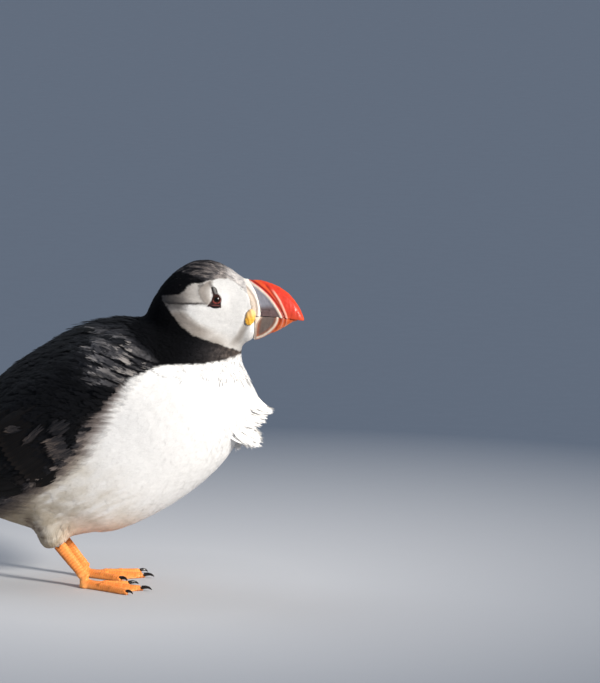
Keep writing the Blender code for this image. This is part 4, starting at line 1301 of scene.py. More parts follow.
def bill_relief(points, upper):
    """The bill's raised cream line, its grooves, its sunk plate and fine ridges, in mm."""
    x, z, (base, cream, pale) = bill_marks(points, upper)
    lift = 0.35 * bump_at(cream, 0.0, 1.1)
    if upper:
        flat = ramp(np.abs(points[:, 1]), 0.9, 2.6)
        lift -= 0.40 * bump_at(cream, 1.45, 0.7) * ramp(z, 160, 164) * flat
        lift += 0.14 * bump_at(pale, 0.55, 0.7) * flat
        lift -= 0.34 * bump_at(pale, -0.85, 1.0) * flat
        lift -= 0.6 * ramp(near_line(x, z, NOSTRIL), 0.8, 0.0)
        lift += 0.25 * bump_at(z - 163.0, 0.9, 1.6) * ramp(base, 1.5, 3) * ramp(x, 109, 106)
    else:
        lift -= 0.30 * bump_at(cream, 1.5, 0.8)
        lift -= 0.35 * bump_at(cream, 4.6, 0.7)
    plate = ramp(base, 1.2, 2.4) * ramp(cream, -0.8, -2.0)
    lift -= 0.22 * plate
    lift += 0.05 * mottle(np.stack((base, points[:, 1], z * 0.2), 1), (0.9, 3.0, 1.0), 101)
    return lift + 0.04 * mottle(points, 1.4, 102)


def bill_colours(points, upper):
    """Slate plate, cream line and red outer bill, with painted shade in the grooves, low on the sides and by
    the gape, and pale lines between them, on the upper bill a painted highlight along a raised ridge.
    """
    tint = palette("puffin_bill")
    x, z, (base, cream, pale) = bill_marks(points, upper)
    wide = np.abs(points[:, 1])
    grain = mottle(np.stack((base, points[:, 1], z * 0.25), 1), (0.7, 2.0, 1.2), 111)
    cloud = mottle(points, (4.0, 4.0, 3.0), 112)
    red, orange = tint.red, tint.orange
    horn, dark = tint.cream, tint.groove
    if upper:
        plate = mix(tint.gape, tint.slate, ramp(z + 0.9 * cloud, 163.6, 168.5))
        plate = mix(plate, tint.slate * 1.35, ramp(z, 171, 180) * 0.6)
        plate = mix(plate, tint.gape * 0.7, 0.5 * bump_at(z - 164.2, 0.9, 1.6))
    else:
        plate = mix(tint.lower, tint.gape, 0.25 + 0.25 * cloud)
        plate = mix(plate, orange * 0.5, 0.6 * ramp(base, 4.2, 1.5) + 0.45 * ramp(cream, -2.4, -0.8))
    plate = plate * (1 + 0.12 * grain)[:, None]
    outer = mix(red, orange, ramp(z + 0.25 * (x - 112), 168, 158) * (0.35 if upper else 0.8))
    outer = mix(outer, red * 0.75, 0.3 * ramp(grain, 0.0, 0.9))
    # painted shade: the upper bill's sides darker low down towards the gape
    dusk = 0.5 * ramp(z, 166.5, 161.0) * ramp(wide, 1.2, 3.0) * (0.5 + 0.5 * ramp(grain, -0.4, 0.6))
    outer = mix(outer, dark * 1.6, dusk)
    # painted highlight: a paler orange along the top of the culmen
    outer = mix(outer, orange, 0.12 * ramp(wide, 1.6, 0.5))
    if upper:
        # painted shade in the groove in front of the cream line
        outer = mix(outer, dark, bump_at(cream, 1.45, 0.8) * 0.85)
        outer = mix(outer, orange, 0.35 * bump_at(cream, 3.0, 1.4))
        # painted shade in the groove behind the pale line
        outer = mix(outer, dark * 1.3, bump_at(pale, -0.95, 1.0) * 0.7 * ramp(wide, 0.9, 2.6))
        # painted highlight along the raised ridge of the pale line
        outer = mix(outer, tint.pale, np.minimum(1, 1.4 * bump_at(pale, 0.45, 0.9)) * ramp(z, 177.5, 174.0))
    else:
        near_gape = ramp(z, 154.5, 160.5)
        # painted shade on the lower bill under the upper bill's edge, by the gape
        outer = mix(outer, dark * 1.1, 0.75 * near_gape * ramp(cream, 6.5, 2.0))
        # painted shade in the lower bill's groove by its cream line
        outer = mix(outer, dark, bump_at(cream, 1.5, 0.9) * 0.5)
        outer = mix(outer, tint.pale * 0.9, bump_at(cream, 3.4, 0.7) * 0.45)
        outer = mix(outer, tint.pale * 0.9, bump_at(cream, 5.6, 0.6) * 0.35)
    colour = mix(plate, outer, ramp(cream, 0.2, 0.9))
    colour = mix(colour, horn * (1 + 0.06 * grain)[:, None], bump_at(cream, -0.1, 1.15) * 0.95)
    if not upper:
        base = base - 2.1 * ramp(z, 155.5, 161.5)
    colour = mix(colour, horn if upper else tint.ridge_line, ramp(base, 2.2, 1.4))
    colour = mix(colour, horn, ramp(base, 1.1, 0.6))
    return colour * (1 + 0.04 * cloud)[:, None]


def narrowed_top(points, edges):
    """The bill's base drawn back and down a little where it meets the forehead."""
    points = points.copy()
    high = ramp(points[:, 2], 172, 186) * ramp(points[:, 0], 104, 92)
    points[:, 0] -= 1.6 * high
    points[:, 2] -= 0.9 * high
    return points


def seated_ridge(points, edges):
    """The base ridge with its rear edge laid back onto the face."""
    points = narrowed_top(points, edges)
    _, z, (base, _, _) = bill_marks(points, True)
    points[:, 0] -= 1.3 * ramp(base, 0.4, -1.4)
    points[:, 0] -= 1.7 * ramp(z, 162.5, 157.0) * ramp(base, -0.6, 1.4)
    return points


def fair(points, edges, rounds):
    """Smoothing that takes facets off without shrinking the form."""
    for _ in range(rounds):
        points = smoothed(points, edges, 1, 0.5)
        points = smoothed(points, edges, 1, -0.52)
    return points


def horn_piece(name, nodes, voxel, rounds, relief, colours, material, slot, grow=0.0, shape=None):
    """A hard piece: copies of solids made one fine surface, faired, shaped, given relief, and coloured."""
    mesh = remeshed(nodes, grow, voxel, name)
    edges = edges_of(mesh)
    points = fair(points_of(mesh), edges, rounds)
    if shape is not None:
        points = shape(points, edges)
    set_points(mesh, points)
    if relief is not None:
        normals = unit(smoothed(normals_of(mesh), edges, 3))
        points = points + normals * relief(points)[:, None]
        set_points(mesh, points)
    mesh.polygons.foreach_set("use_smooth", np.ones(len(mesh.polygons), bool))
    paint(mesh, colours(points), "Tint")
    show(name, mesh, material, slot, *nodes)


def tinted_material(name, rough, grain_size, grain_depth, gloss=0.0, soft=0.0, vary=0.12):
    """A hard or leathery surface that carries its colour in the Tint attribute."""
    material, nodes, links, shader = new_material(name)
    colour = attribute(nodes, "Tint").outputs["Color"]
    place = nodes.new("ShaderNodeTexCoord").outputs["Object"]
    grain = noise(nodes, links, place, 1000.0 / grain_size, 5.0, 0.65)
    shade = ranged(nodes, links, grain, 0.3, 0.7, 1 - vary, 1 + vary * 0.7)
    links.new(tinted(nodes, links, colour, shade), shader.inputs["Base Color"])
    links.new(ranged(nodes, links, grain, 0.3, 0.7, rough - 0.08, rough + 0.1), shader.inputs["Roughness"])
    shader.inputs["Specular IOR Level"].default_value = 0.11
    shader.inputs["Coat Weight"].default_value = gloss
    shader.inputs["Coat Roughness"].default_value = 0.18
    shader.inputs["Subsurface Weight"].default_value = soft
    shader.inputs["Subsurface Radius"].default_value = (1.0, 0.45, 0.25)
    shader.inputs["Subsurface Scale"].default_value = 0.0015
    bumped(nodes, links, shader, grain, grain_depth)
    return material


# ---- eyes

PUPIL_EDGE = (1.25, 1.45)  # mm from the eye's axis
IRIS_EDGE = (2.2, 2.5)
PUPIL_BLACK = np.array((0.002, 0.002, 0.002))
EYE_RIM = np.array((0.01, 0.006, 0.005))
PLATE_RIM = np.array((0.012, 0.010, 0.010))
LOWER_PLATE_RIM = np.array((0.014, 0.010, 0.010))


def eye_axis(side):
    """The way the eye looks, square to the head's side."""
    return unit(np.array((0.34, side * 0.93, 0.12)))


def eye_middle(side):
    """The eye's middle, set a little back and down in its socket, and its radius."""
    low, high = (np.array(c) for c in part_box("eye_" + side_name(side)))
    return ((low + high) / 2 - ORIGIN) / MM + np.array(EYE_SEAT) * (1, side, 1), (high - low).max() / 2 / MM


def turned_profile(profile, middle, axis, count):
    """A profile of (radius, height along the axis) turned round the axis: its points and faces."""
    axis = unit(np.array(axis, float))
    first = unit(np.cross(axis, (0.0, 0.0, 1.0)))
    second = np.cross(axis, first)
    angles = np.linspace(0, 2 * math.pi, count, endpoint=False)
    rings = [
        middle + axis * h + (np.outer(np.cos(angles), first) + np.outer(np.sin(angles), second)) * r
        for r, h in profile
    ]
    return np.concatenate(rings), rings_joined(len(profile), count)


def rings_joined(rings, count, closed=False):
    """Square faces between rings of count points each."""
    faces = []
    for k in range(rings if closed else rings - 1):
        for j in range(count):
            a, b = k * count + j, k * count + (j + 1) % count
            c, d = ((k + 1) % rings) * count + j, ((k + 1) % rings) * count + (j + 1) % count
            faces.append((a, b, d, c))
    return np.array(faces)


def facing_out(mesh):
    """The mesh with doubled points merged and all its faces turned outwards."""
    bm = bmesh.new()
    bm.from_mesh(mesh)
    bmesh.ops.remove_doubles(bm, verts=bm.verts, dist=1e-6)
    bmesh.ops.recalc_face_normals(bm, faces=bm.faces)
    bm.to_mesh(mesh)
    bm.free()
    return mesh


def eye_ball(side):
    """A ball with a low clear bulge in front of the iris."""
    middle, radius = eye_middle(side)
    profile = []
    for k in range(29):
        t = math.pi * k / 28
        bulge = 0.16 * math.exp(-((t / 0.42) ** 2))
        profile.append((max(math.sin(t) * radius, 0.0), math.cos(t) * radius + bulge))
    points, faces = turned_profile(profile, middle, eye_axis(side), 48)
    mesh = facing_out(mesh_of("eye_ball_" + side_name(side), points, faces))
    points = points_of(mesh)
    away = np.linalg.norm(np.cross(points - middle, eye_axis(side)), axis=1)
    tint = palette("puffin_eyes")
    angle = np.arctan2(*((points - middle) @ np.array(((1, 0), (0, 0), (0, 1)))).T)
    rays = 0.5 + 0.5 * np.sin(angle * 23) * np.sin(angle * 7 + 1)
    colour = mix(tint.iris * 0.6, tint.iris, rays)
    colour = mix(PUPIL_BLACK, colour, ramp(away, *PUPIL_EDGE))
    colour = mix(colour, EYE_RIM, ramp(away, *IRIS_EDGE))
    paint(mesh, colour, "Tint")
    return mesh


def eye_ring(side):
    """The fleshy ring that holds the eye, drawn out below into a point towards the nape."""
    middle, radius = eye_middle(side)
    axis = eye_axis(side)
    first = unit(np.array((1.0, 0, 0)) - axis * axis[0])
    second = unit(np.array((0.0, 0, 1.0)) - axis * axis[2])
    points = []
    around, ring = 72, 14
    inner = 1.95
    for j in range(around):
        angle = 2 * math.pi * j / around
        c, s = math.cos(angle), math.sin(angle)
        outer = 2.5 + 1.0 * max(0, -c) * max(0, -s) + 0.15 * max(0, -s)
        for k in range(ring):
            t = 2 * math.pi * k / ring
            r = (inner + outer) / 2 + (outer - inner) / 2 * math.cos(t)
            base = math.sqrt(max(radius ** 2 - r ** 2, 0.2))
            thick = 0.26 + 0.05 * math.sin(9 * angle)
            high = base + 0.12 + thick * math.sin(t)
            points.append(middle + axis * high + (first * c + second * s) * r)
    faces = rings_joined(around, ring, closed=True)
    mesh = facing_out(mesh_of("eye_ring_" + side_name(side), np.array(points), faces))
    tint = palette("puffin_eyes")
    at = points_of(mesh)
    # painted shade: the ring's upper part darkened, its lower part left red where the light reaches
    low = ramp(at[:, 2] - middle[2], 1.5, -2.0)
    colour = mix(tint.ring * 0.16, tint.ring, low)
    colour = mix(colour, colour * 0.5, ramp(mottle(at, 0.6, 121), 0.1, 0.7))
    paint(mesh, colour, "Tint")
    return mesh


# ---- feet

TOES = ((29.0, 2.0), (1.0, 2.15), (-24.0, 2.05))  # degrees inwards, and half width
TOE_OUT = 6.0  # degrees by which the feet point outwards
LEFT_LEG_BACK = 8.5
LEG_SPREAD = 17.0
TOE_SCALE = 1.55  # the length of one scale
SHANK_SCALE = 1.75


def ankle_place(side):
    """Where a leg meets its foot, seen from above."""
    return np.array((-LEFT_LEG_BACK if side > 0 else 0.0, side * LEG_SPREAD))


def foot_marks(points, side):
    """Where points of a foot lie: how far off the nearest toe, how far along it, and how far up the shank."""
    ankle = ankle_place(side)
    flat = points[:, :2] - ankle
    away, along, best = np.full(len(points), 1e9), np.zeros(len(points)), np.zeros(len(points))
    for index, (angle, half) in enumerate(TOES):
        a = math.radians(side * (TOE_OUT - angle))
        u = flat[:, 0] * math.cos(a) + flat[:, 1] * math.sin(a)
        v = -flat[:, 0] * math.sin(a) + flat[:, 1] * math.cos(a)
        d = np.hypot(v, np.maximum(0, -u)) - half
        near = d < away
        away, along, best = np.where(near, d, away), np.where(near, u, along), np.where(near, index, best)
    shank = (points[:, 2] - 5) * 0.77 + (ankle[0] - points[:, 0]) * 0.64
    return flat, away, along, best, shank


def ankle_rounded(side):
    """Softens the joint of shank and foot, and draws the shank in a little."""
    ankle = np.array((*ankle_place(side), 6.0))

    def shape(points, edges):
        near = ramp(np.linalg.norm(points - ankle, axis=1), 13.0, 6.5) * ramp(points[:, 2], 1.2, 3.0)
        points = smoothed(points, edges, 110, 0.5 * near[:, None])
        shank = ramp(points[:, 2], 6.0, 9.0)
        points = smoothed(points, edges, 26, 0.5 * shank[:, None])
        return points + np.outer(ramp(points[:, 2], 18.0, 25.0), (-2.6, 0.0, 3.2))
    return shape


def scale_gaps(points, shank, along, toe):
    """How near a point is to a gap between scales, 0 to 1: across the toes, and across the shank."""
    across_toes = np.abs(((along + 0.35 * toe) / TOE_SCALE) % 1.0 - 0.5) * 2
    across_shank = np.abs(((shank + 0.6 * mottle(points, 3.0, 131)) / SHANK_SCALE) % 1.0 - 0.5) * 2
    return across_toes, across_shank


def foot_relief(side):
    """Scales, knuckles and folded webs, as a function of the points of one foot."""
    def relief(points):
        flat, away, along, toe, shank = foot_marks(points, side)
        high = ramp(points[:, 2], 6.5, 9.5)
        across_toes, across_shank = scale_gaps(points, shank, along, toe)
        scales = -0.20 * ramp(across_toes, 0.72, 1.0) * ramp(away, 0.8, -0.6) * (1 - high)
        scales += -0.18 * ramp(across_shank, 0.70, 1.0) * high
        knuckle = sum(bump_at(along - k, 0.0, 2.2) for k in (11.5, 21.0)) * ramp(away, 0.9, -0.8)
        web = ramp(away, 0.2, 1.6) * (1 - high)
        drawn_out = np.stack((flat[:, 0] * 0.25, flat[:, 1], points[:, 2]), 1)
        folds = 0.16 * mottle(drawn_out, (1.2, 1.0, 3.0), 132)
        crease = -0.35 * bump_at(shank - 1.5, 1.0, 1.6) * ramp(points[:, 2], 3.2, 4.5)
        return scales + 0.22 * knuckle * (1 - high) + web * folds + crease + 0.06 * mottle(points, 0.9, 133)
    return relief


def foot_colours(side):
    """Orange toes and webs with dark lines between the scales, and painted shade where the foot meets the
    floor, as a function of the points of one foot.
    """
    def colours(points):
        tint = palette("puffin_feet")
        _, away, along, toe, shank = foot_marks(points, side)
        high = ramp(points[:, 2], 6.5, 9.5)
        across_toes, across_shank = scale_gaps(points, shank, along, toe)
        lines = ramp(across_toes, 0.62, 1.0) * ramp(away, 0.8, -0.6) * (1 - high)
        lines = np.maximum(lines, ramp(across_shank, 0.62, 1.0) * high)
        behind = points[:, 0] - ankle_place(side)[0] + 0.82 * (points[:, 2] - 5)
        colour = mix(tint.orange, tint.web, ramp(away, -0.3, 1.2) * (1 - high) * 0.8)
        for share in (
            0.38 * lines,
            0.75 * ramp(behind, -1.0, -4.6) * high * (0.7 + 0.3 * mottle(points, 1.5, 134)),
            0.5 * ramp(along, 31, 36) * ramp(away, 1.0, -1.0),
            # painted shade where the foot meets the floor
            0.4 * ramp(points[:, 2], 1.2, 0.3),
        ):
            colour = mix(colour, tint.heel, share)
        return colour * (1 + 0.10 * mottle(points, 2.2, 135))[:, None]
    return colours


# ---- settings

def colour_setting(name, words, default):
    return FloatVectorProperty(
        name=name, description=words, subtype="COLOR", size=3, min=0, max=1, default=default
    )


def number_setting(name, words, default, **limits):
    return FloatProperty(name=name, description=words, default=default, **limits)


class PuffinPlumage(bpy.types.PropertyGroup):
    """Colours of the feathers and how closely they stand."""
    white: colour_setting("White", "Clean white of the breast and face", (0.78, 0.77, 0.755))
    # beige streaks on the belly, and painted shade towards its rear and bottom
    beige_streak_shade: colour_setting("Soiled white", "Streaks on the belly", (0.36, 0.29, 0.20))
    vent: colour_setting("Vent", "Dull white under the tail", (0.36, 0.285, 0.195))
    # painted bounced light at the belly's lower edge
    bounced_peach: colour_setting("Peach", "Tint at the belly's lower edge", (1.0, 0.78, 0.62))
    cheek: colour_setting("Cheek", "Shaded rear of the face", (0.265, 0.230, 0.200))
    eyelid: colour_setting("Eyelid", "Bare skin between eye and plates", (0.026, 0.010, 0.009))
    smoke: colour_setting("Smoke", "Grey lines and patch behind the eye", (0.10, 0.092, 0.088))
    black: colour_setting("Black", "Back, nape and wings", (0.0028, 0.0030, 0.0040))
    # wear and painted sheen on the shoulder's black feathers
    worn_and_sheen: colour_setting("Worn black", "Feathers of the shoulder", (0.360, 0.330, 0.310))
    brown: colour_setting("Brown", "Faded feathers on the wing", (0.060, 0.042, 0.031))
    flank: colour_setting("Flank", "Hair-like feathers between wing and belly", (0.120, 0.098, 0.090))
    crown: colour_setting("Crown", "Grey-brown streaks on the crown", (0.130, 0.112, 0.106))
    forehead: colour_setting("Forehead", "Pale feathers above the bill", (0.50, 0.445, 0.41))
    collar: colour_setting("Collar", "Front of the black collar", (0.125, 0.100, 0.088))
    flight: colour_setting("Flight feathers", "Primaries, secondaries and tail", (0.0040, 0.0036, 0.0038))
    tan: colour_setting("Tan", "Worn tips low on the wing", (0.30, 0.215, 0.165))
    closeness: number_setting("Closeness", "How closely feathers stand", 1.0, min=0.2, max=1.5)


class PuffinBill(bpy.types.PropertyGroup):
    """Colours of the bill's plates and bands."""
    slate: colour_setting("Slate", "Upper plate", (0.225, 0.225, 0.260))
    gape: colour_setting("Gape", "Plate along the gape", (0.120, 0.080, 0.080))
    lower: colour_setting("Lower plate", "Plate of the lower bill", (0.150, 0.120, 0.104))
    cream: colour_setting("Cream", "Base ridge and cream line", (0.80, 0.68, 0.56))
    ridge_line: colour_setting("Ridge line", "Thin lines along the base ridge", (0.40, 0.29, 0.23))
    red: colour_setting("Red", "Outer bill", (0.63, 0.046, 0.026))
    orange: colour_setting("Orange", "Lower edge and tip", (0.82, 0.19, 0.035))
    # painted shade inside the grooves
    groove: colour_setting("Groove", "Inside the grooves", (0.17, 0.014, 0.010))
    # painted highlight along a raised ridge of the red
    pale: colour_setting("Pale groove", "Light line on the red", (0.85, 0.42, 0.32))
    rosette: colour_setting("Rosette", "Skin at the corner of the mouth", (0.92, 0.50, 0.07))


class PuffinEyes(bpy.types.PropertyGroup):
    """Colours of the eyes, their rings and plates."""
    iris: colour_setting("Iris", "Dark brown iris", (0.030, 0.014, 0.008))
    ring: colour_setting("Ring", "Fleshy ring", (0.26, 0.052, 0.042))
    plate: colour_setting("Plate", "Grey horn above the eye", (0.19, 0.18, 0.17))
    lower_plate: colour_setting("Lower plate", "Dark horn below the eye", (0.09, 0.031, 0.028))


class PuffinFeet(bpy.types.PropertyGroup):
    """Colours of the legs, webs and claws."""
    orange: colour_setting("Orange", "Shank and toes", (0.93, 0.31, 0.075))
    web: colour_setting("Web", "Skin between the toes", (0.97, 0.42, 0.13))
    heel: colour_setting("Heel", "Dark back of the shank", (0.19, 0.068, 0.026))
    claw: colour_setting("Claw", "Claws", (0.014, 0.011, 0.010))


class PuffinStage(bpy.types.PropertyGroup):
    """The floor, the light and the camera."""
    floor: colour_setting("Floor", "Floor at the feet", (0.60, 0.605, 0.62))
    distance: colour_setting("Distance", "Floor and air further off", (0.122, 0.152, 0.200))
    key: number_setting("Key light", "Strength of the warm light", 5.0, min=0)
    sky: number_setting("Sky light", "Strength of the soft surrounding light", 0.43, min=0)
    camera_distance: number_setting(
        "Camera distance", "From the middle of the view", 3.0, subtype="DISTANCE", unit="LENGTH"
    )
    azimuth: number_setting("Azimuth", "Camera's turn round the bird, in degrees", 12.0)
    elevation: number_setting("Elevation", "Camera's height, in degrees", 8.0)
    lens: number_setting("Lens", "Focal length in mm", 272.6)


FLOOR_HALF = 14.0  # metres
CAMERA_AIM = (0.1243, 0.0, 0.1467)  # metres from the right foot's ankle


def seen_from(azimuth, elevation):
    """The way from the bird to a place at these degrees: 0 is its right side, and 90 its bill."""
    a, e = math.radians(azimuth), math.radians(elevation)
    return Vector((math.sin(a) * math.cos(e), -math.cos(a) * math.cos(e), math.sin(e)))


# ---- operators

class PUFFIN_OT_skin(bpy.types.Operator):
    """Makes one skin from the fleshy solids and draws the markings on it"""
    bl_idname = "puffin.skin"
    bl_label = "Skin"

    def execute(self, context):
        make_skin()
        return {"FINISHED"}


class PUFFIN_OT_face(bpy.types.Operator):
    """Covers the white face with very short feathers"""
    bl_idname = "puffin.face"
    bl_label = "Face feathers"

    def execute(self, context):
        grown_on_sides(
            "face_feathers", "white_plumage", soft_feather(), 11,
            wanted=face_area, pattern=plume_pattern(4, 0.30), share=2.6, width=0.5, disorder=6,
            rise=0.75, camber=0.1, uneven=0.3, flutter=0.0, pull=0.5, vary=0.02,
        )
        return {"FINISHED"}


class PUFFIN_OT_hood(bpy.types.Operator):
    """Covers crown, nape and collar with short silky feathers"""
    bl_idname = "puffin.hood"
    bl_label = "Hood feathers"

    def execute(self, context):
        grown_on_sides(
            "hood_feathers", "black_plumage", silky_feather(), 21,
            wanted=lambda points: hood_area(points) * (1 - face_area(points)),
            pattern=plume_pattern(4, 0.28), share=2.2, width=0.45, disorder=9,
            rise=0.9, camber=0.12, uneven=0.4, flutter=0.0, pull=0.2, vary=0.16,
        )
        return {"FINISHED"}


class PUFFIN_OT_underparts(bpy.types.Operator):
    """Covers breast, belly and vent with soft overlapping feathers"""
    bl_idname = "puffin.underparts"
    bl_label = "Underparts"

    def execute(self, context):
        grown_on_sides(
            "underpart_feathers", "white_plumage", soft_feather(), 31,
            wanted=white_area, pattern=plume_pattern(7, 0.2), share=2.6, width=0.40, disorder=7,
            rise=0.26, camber=0.03, uneven=0.3, flutter=0.0, pull=0.3, vary=0.012, untidy=0.05,
        )
        return {"FINISHED"}


class PUFFIN_OT_trousers(bpy.types.Operator):
    """Covers the feathered part of the legs"""
    bl_idname = "puffin.trousers"
    bl_label = "Leg feathers"

    def execute(self, context):
        parts, seats, colours, _ = feather_coat(
            wanted=leg_share, seed=41, pattern=plume_pattern(5, 0.24), share=2.6, width=0.4, disorder=8,
            rise=0.8, camber=0.12, uneven=0.35, flutter=0.05, pull=0.4, vary=0.02,
        )
        coat_piece("leg_feathers", parts, seats, colours, soft_feather(), "white_plumage")
        return {"FINISHED"}


class PUFFIN_OT_back(bpy.types.Operator):
    """Covers mantle, shoulders, wing coverts and rump with firm overlapping feathers"""
    bl_idname = "puffin.back"
    bl_label = "Back and coverts"

    def execute(self, context):
        for index, side in enumerate(SIDES):
            parts, seats, colours, course = feather_coat(
                wanted=black_area, seed=51 + index, pattern=barbed_pattern(8, 0.45, 0.15), share=2.15,
                width=0.27, disorder=9, rise=0.95, camber=0.18, uneven=0.4, flutter=0.1, pull=0.85, vary=0.22,
                untidy=0.32, rounding=0.35, sides=(side,),
            )
            rows = lock_rows(*laid(course[0][:, 2]))[parts.feather]
            normal = course[2].mean(1)[parts.feather]
            parts.points = parts.points - normal * ((1 - rows) * 0.8)[:, None]
            along = parts.patch[:, 1]
            # painted shadow in the gaps under the shoulder's locks; painted light too: each feather's tip
            # lighter and its root darker, as if shaded by the feather above
            colours = colours * (0.2 + 0.8 * rows)[:, None]
            colours = colours * (1 + 0.35 * ramp(along, 0.20, 0.48) - 0.45 * ramp(along, -0.1, -0.4))[:, None]
            name = "back_feathers_" + side_name(side)
            coat_piece(name, parts, seats, colours, firm_feather(), "black_plumage")
            self.streak_shoulder(side)
        return {"FINISHED"}

    def streak_shoulder(self, side):
        """Loose barbs over the shoulder, gathered in clumps of painted sheen and painted shadow."""
        parts, seats, _, _ = feather_coat(
            wanted=lambda points: ramp(within(*laid(points), SHOULDER), -4.0, 2.0) * black_area(points),
            seed=55 + side, pattern=plume_pattern(5, 0.17), share=3.4, width=0.20, disorder=6, rise=1.12,
            camber=0.1, uneven=0.5, flutter=0.2, pull=0.9, vary=0.2, untidy=0.2, rounding=0.3, sides=(side,),
            shorter=0.62,
        )
        tint = palette("puffin_plumage")
        middles = strand_middles(parts)
        x, z = laid(middles)
        ragged = 9.0 * (lock_streaks(middles, 2.4, 56) - 0.5)
        lit = 0.25 + 0.75 * ramp(within(x, z, SUNLIT) + ragged, -8, 2)
        lit = lit * ramp(within(x, z, SHOULDER), -3, 3) * lock_rows(x, z)
        clumps = 0.45 * lock_streaks(middles, 1.6, 57) + 0.3 * lock_streaks(middles, 0.7, 58)
        lit = lit * (0.40 + 0.32 * ramp(x, 12, 26) + clumps)
        shine = 1 + 0.6 * ramp(lock_streaks(middles, 1.3, 59), 0.45, 0.9) * ramp(x, 22, 10)
        colours = toned(tint.black, tint.worn_and_sheen, np.clip(lit, 0, 1)) * shine[:, None]
        # painted light: each strand lighter towards its tip
        colours = colours * (1 + 0.25 * ramp(parts.patch[:, 1], 0.0, 0.45))[:, None]
        name = "shoulder_streaks_" + side_name(side)
        coat_piece(name, parts, seats, colours, firm_feather(), "black_plumage")


class PUFFIN_OT_wings(bpy.types.Operator):
    """Lays the long flight feathers along the folded wings"""
    bl_idname = "puffin.wings"
    bl_label = "Flight feathers"

    def execute(self, context):
        for side in SIDES:
            rng = np.random.default_rng(61)
            name = side_name(side)
            long_piece("flight_feathers_" + name, *long_feathers(side), "wing_tip_" + name, rng, 22)
        return {"FINISHED"}


class PUFFIN_OT_tail(bpy.types.Operator):
    """Lays twelve feathers out in a short fan for the tail"""
    bl_idname = "puffin.tail"
    bl_label = "Tail"

    def execute(self, context):
        rng = np.random.default_rng(71)
        courses = []
        middle = (TAIL_FEATHERS - 1) / 2
        for k in range(TAIL_FEATHERS):
            share = (k - middle) / middle
            angle = math.radians(TAIL_FAN * share)
            path = []
            for t in np.linspace(0, 1, STEPS_LONG):
                reach = (TAIL_LENGTH - 4.0 * share ** 2) * t
                sag = 20 + 1.6 * t - 2.8 * share ** 2 * (0.4 + 0.6 * t) - 0.5 * abs(share) * t
                aside = 9.5 * share + reach * math.sin(angle)
                path.append(from_axis(-80 - reach * math.cos(angle), aside, sag))
            path = np.array(path)
            ways = unit(np.gradient(path, axis=0))
            up = unit(np.array((-math.sin(TRUNK_PITCH), 0.30 * share, math.cos(TRUNK_PITCH))))
            ups = unit(np.tile(up, (len(path), 1)) - ways * (ways @ up)[:, None])
            courses.append((path + ups * 0.25 * (middle - abs(k - middle)), ways, ups))
        long_piece("tail_feathers", courses, np.full(TAIL_FEATHERS, 9.0), "tail", rng, 16)
        return {"FINISHED"}


class PUFFIN_OT_locks(bpy.types.Operator):
    """Adds the locks of breast feathers that stand away from the breast"""
    bl_idname = "puffin.locks"
    bl_label = "Breast locks"

    def execute(self, context):
        rng = np.random.default_rng(81)
        strands = []
        for lock, below in zip(BREAST_LOCKS, (*BREAST_LOCKS[1:], BREAST_LOCKS[-1])):
            for index in range(LOCK_STRANDS):
                if index % TUFT_STRANDS == 0:
                    tuft = self.tuft(lock[3], rng)
                strands.append(self.strand(lock, below, tuft, rng))
        *course, widths = (np.array(values) for values in zip(*strands))
        parts = grown_feathers(plume_pattern(4, 0.3), course, widths, np.zeros_like, rng, 0.25, 0.1, 0.1)
        near = course[0][:, 0, 1][parts.feather] < 0
        outward = np.where(near[:, None], (0.8, -0.5, 0.5), (0.8, 0.2, 0.5))
        parts.normals = unit(outward + 0.25 * parts.normals)
        colours = np.tile(palette("puffin_plumage").white * UNDER_LIGHTNESS, (len(parts.points), 1))
        colours *= (1 + 0.02 * rng.standard_normal(len(strands)))[parts.feather][:, None]
        seats = nearest_seat(course[0][:, 0])
        coat_piece("breast_locks", parts, seats, colours, soft_feather(), "white_plumage")
        return {"FINISHED"}

    def tuft(self, blunt, rng):
        """What a few strands share: how far aside they stand, where their tips go, and how long they are."""
        return SimpleNamespace(
            across=5.0 * rng.standard_normal(),
            tip=blunt * rng.standard_normal(3),
            lower=0.45 * rng.random() ** 2,
            reach=1.03 - 0.12 * abs(rng.standard_normal()),
        )

    def strand(self, lock, below, tuft, rng):
        """One strand's course and width. It runs between its own lock's line and that of the lock below."""
        across = tuft.across + 1.2 * rng.standard_normal()
        shares = (tuft.lower, *(rng.random(2) * (0.6, 1.0)))
        tip, bend, root = (
            np.array(own) * (1 - share) + np.array(other) * share
            for own, other, share in zip(lock, below, shares)
        )
        first = np.array((root[0], across, root[1])) + rng.standard_normal(3) * (1.4, 0, 2.0)
        elbow = np.array((bend[0], across * 0.7, bend[1])) + rng.standard_normal(3) * (0.8, 0, 1.1)
        last = np.array((tip[0], tuft.across * 0.35, tip[1])) + tuft.tip + 0.3 * rng.standard_normal(3)
        t = np.linspace(0, tuft.reach - 0.06 * abs(rng.standard_normal()), 7)[:, None]
        line = first * (1 - t) ** 2 + elbow * 2 * t * (1 - t) + last * t**2
        way = unit(np.gradient(line, axis=0))
        facing = (0.35, -0.85, 0.35) if across < 0 else (0.8, 0.3, 0.5)
        up = unit(np.array(facing) + rng.standard_normal(3) * 0.18)
        return line, way, unit(up - way * (way @ up)[:, None]), 2.2 + 1.0 * rng.random()


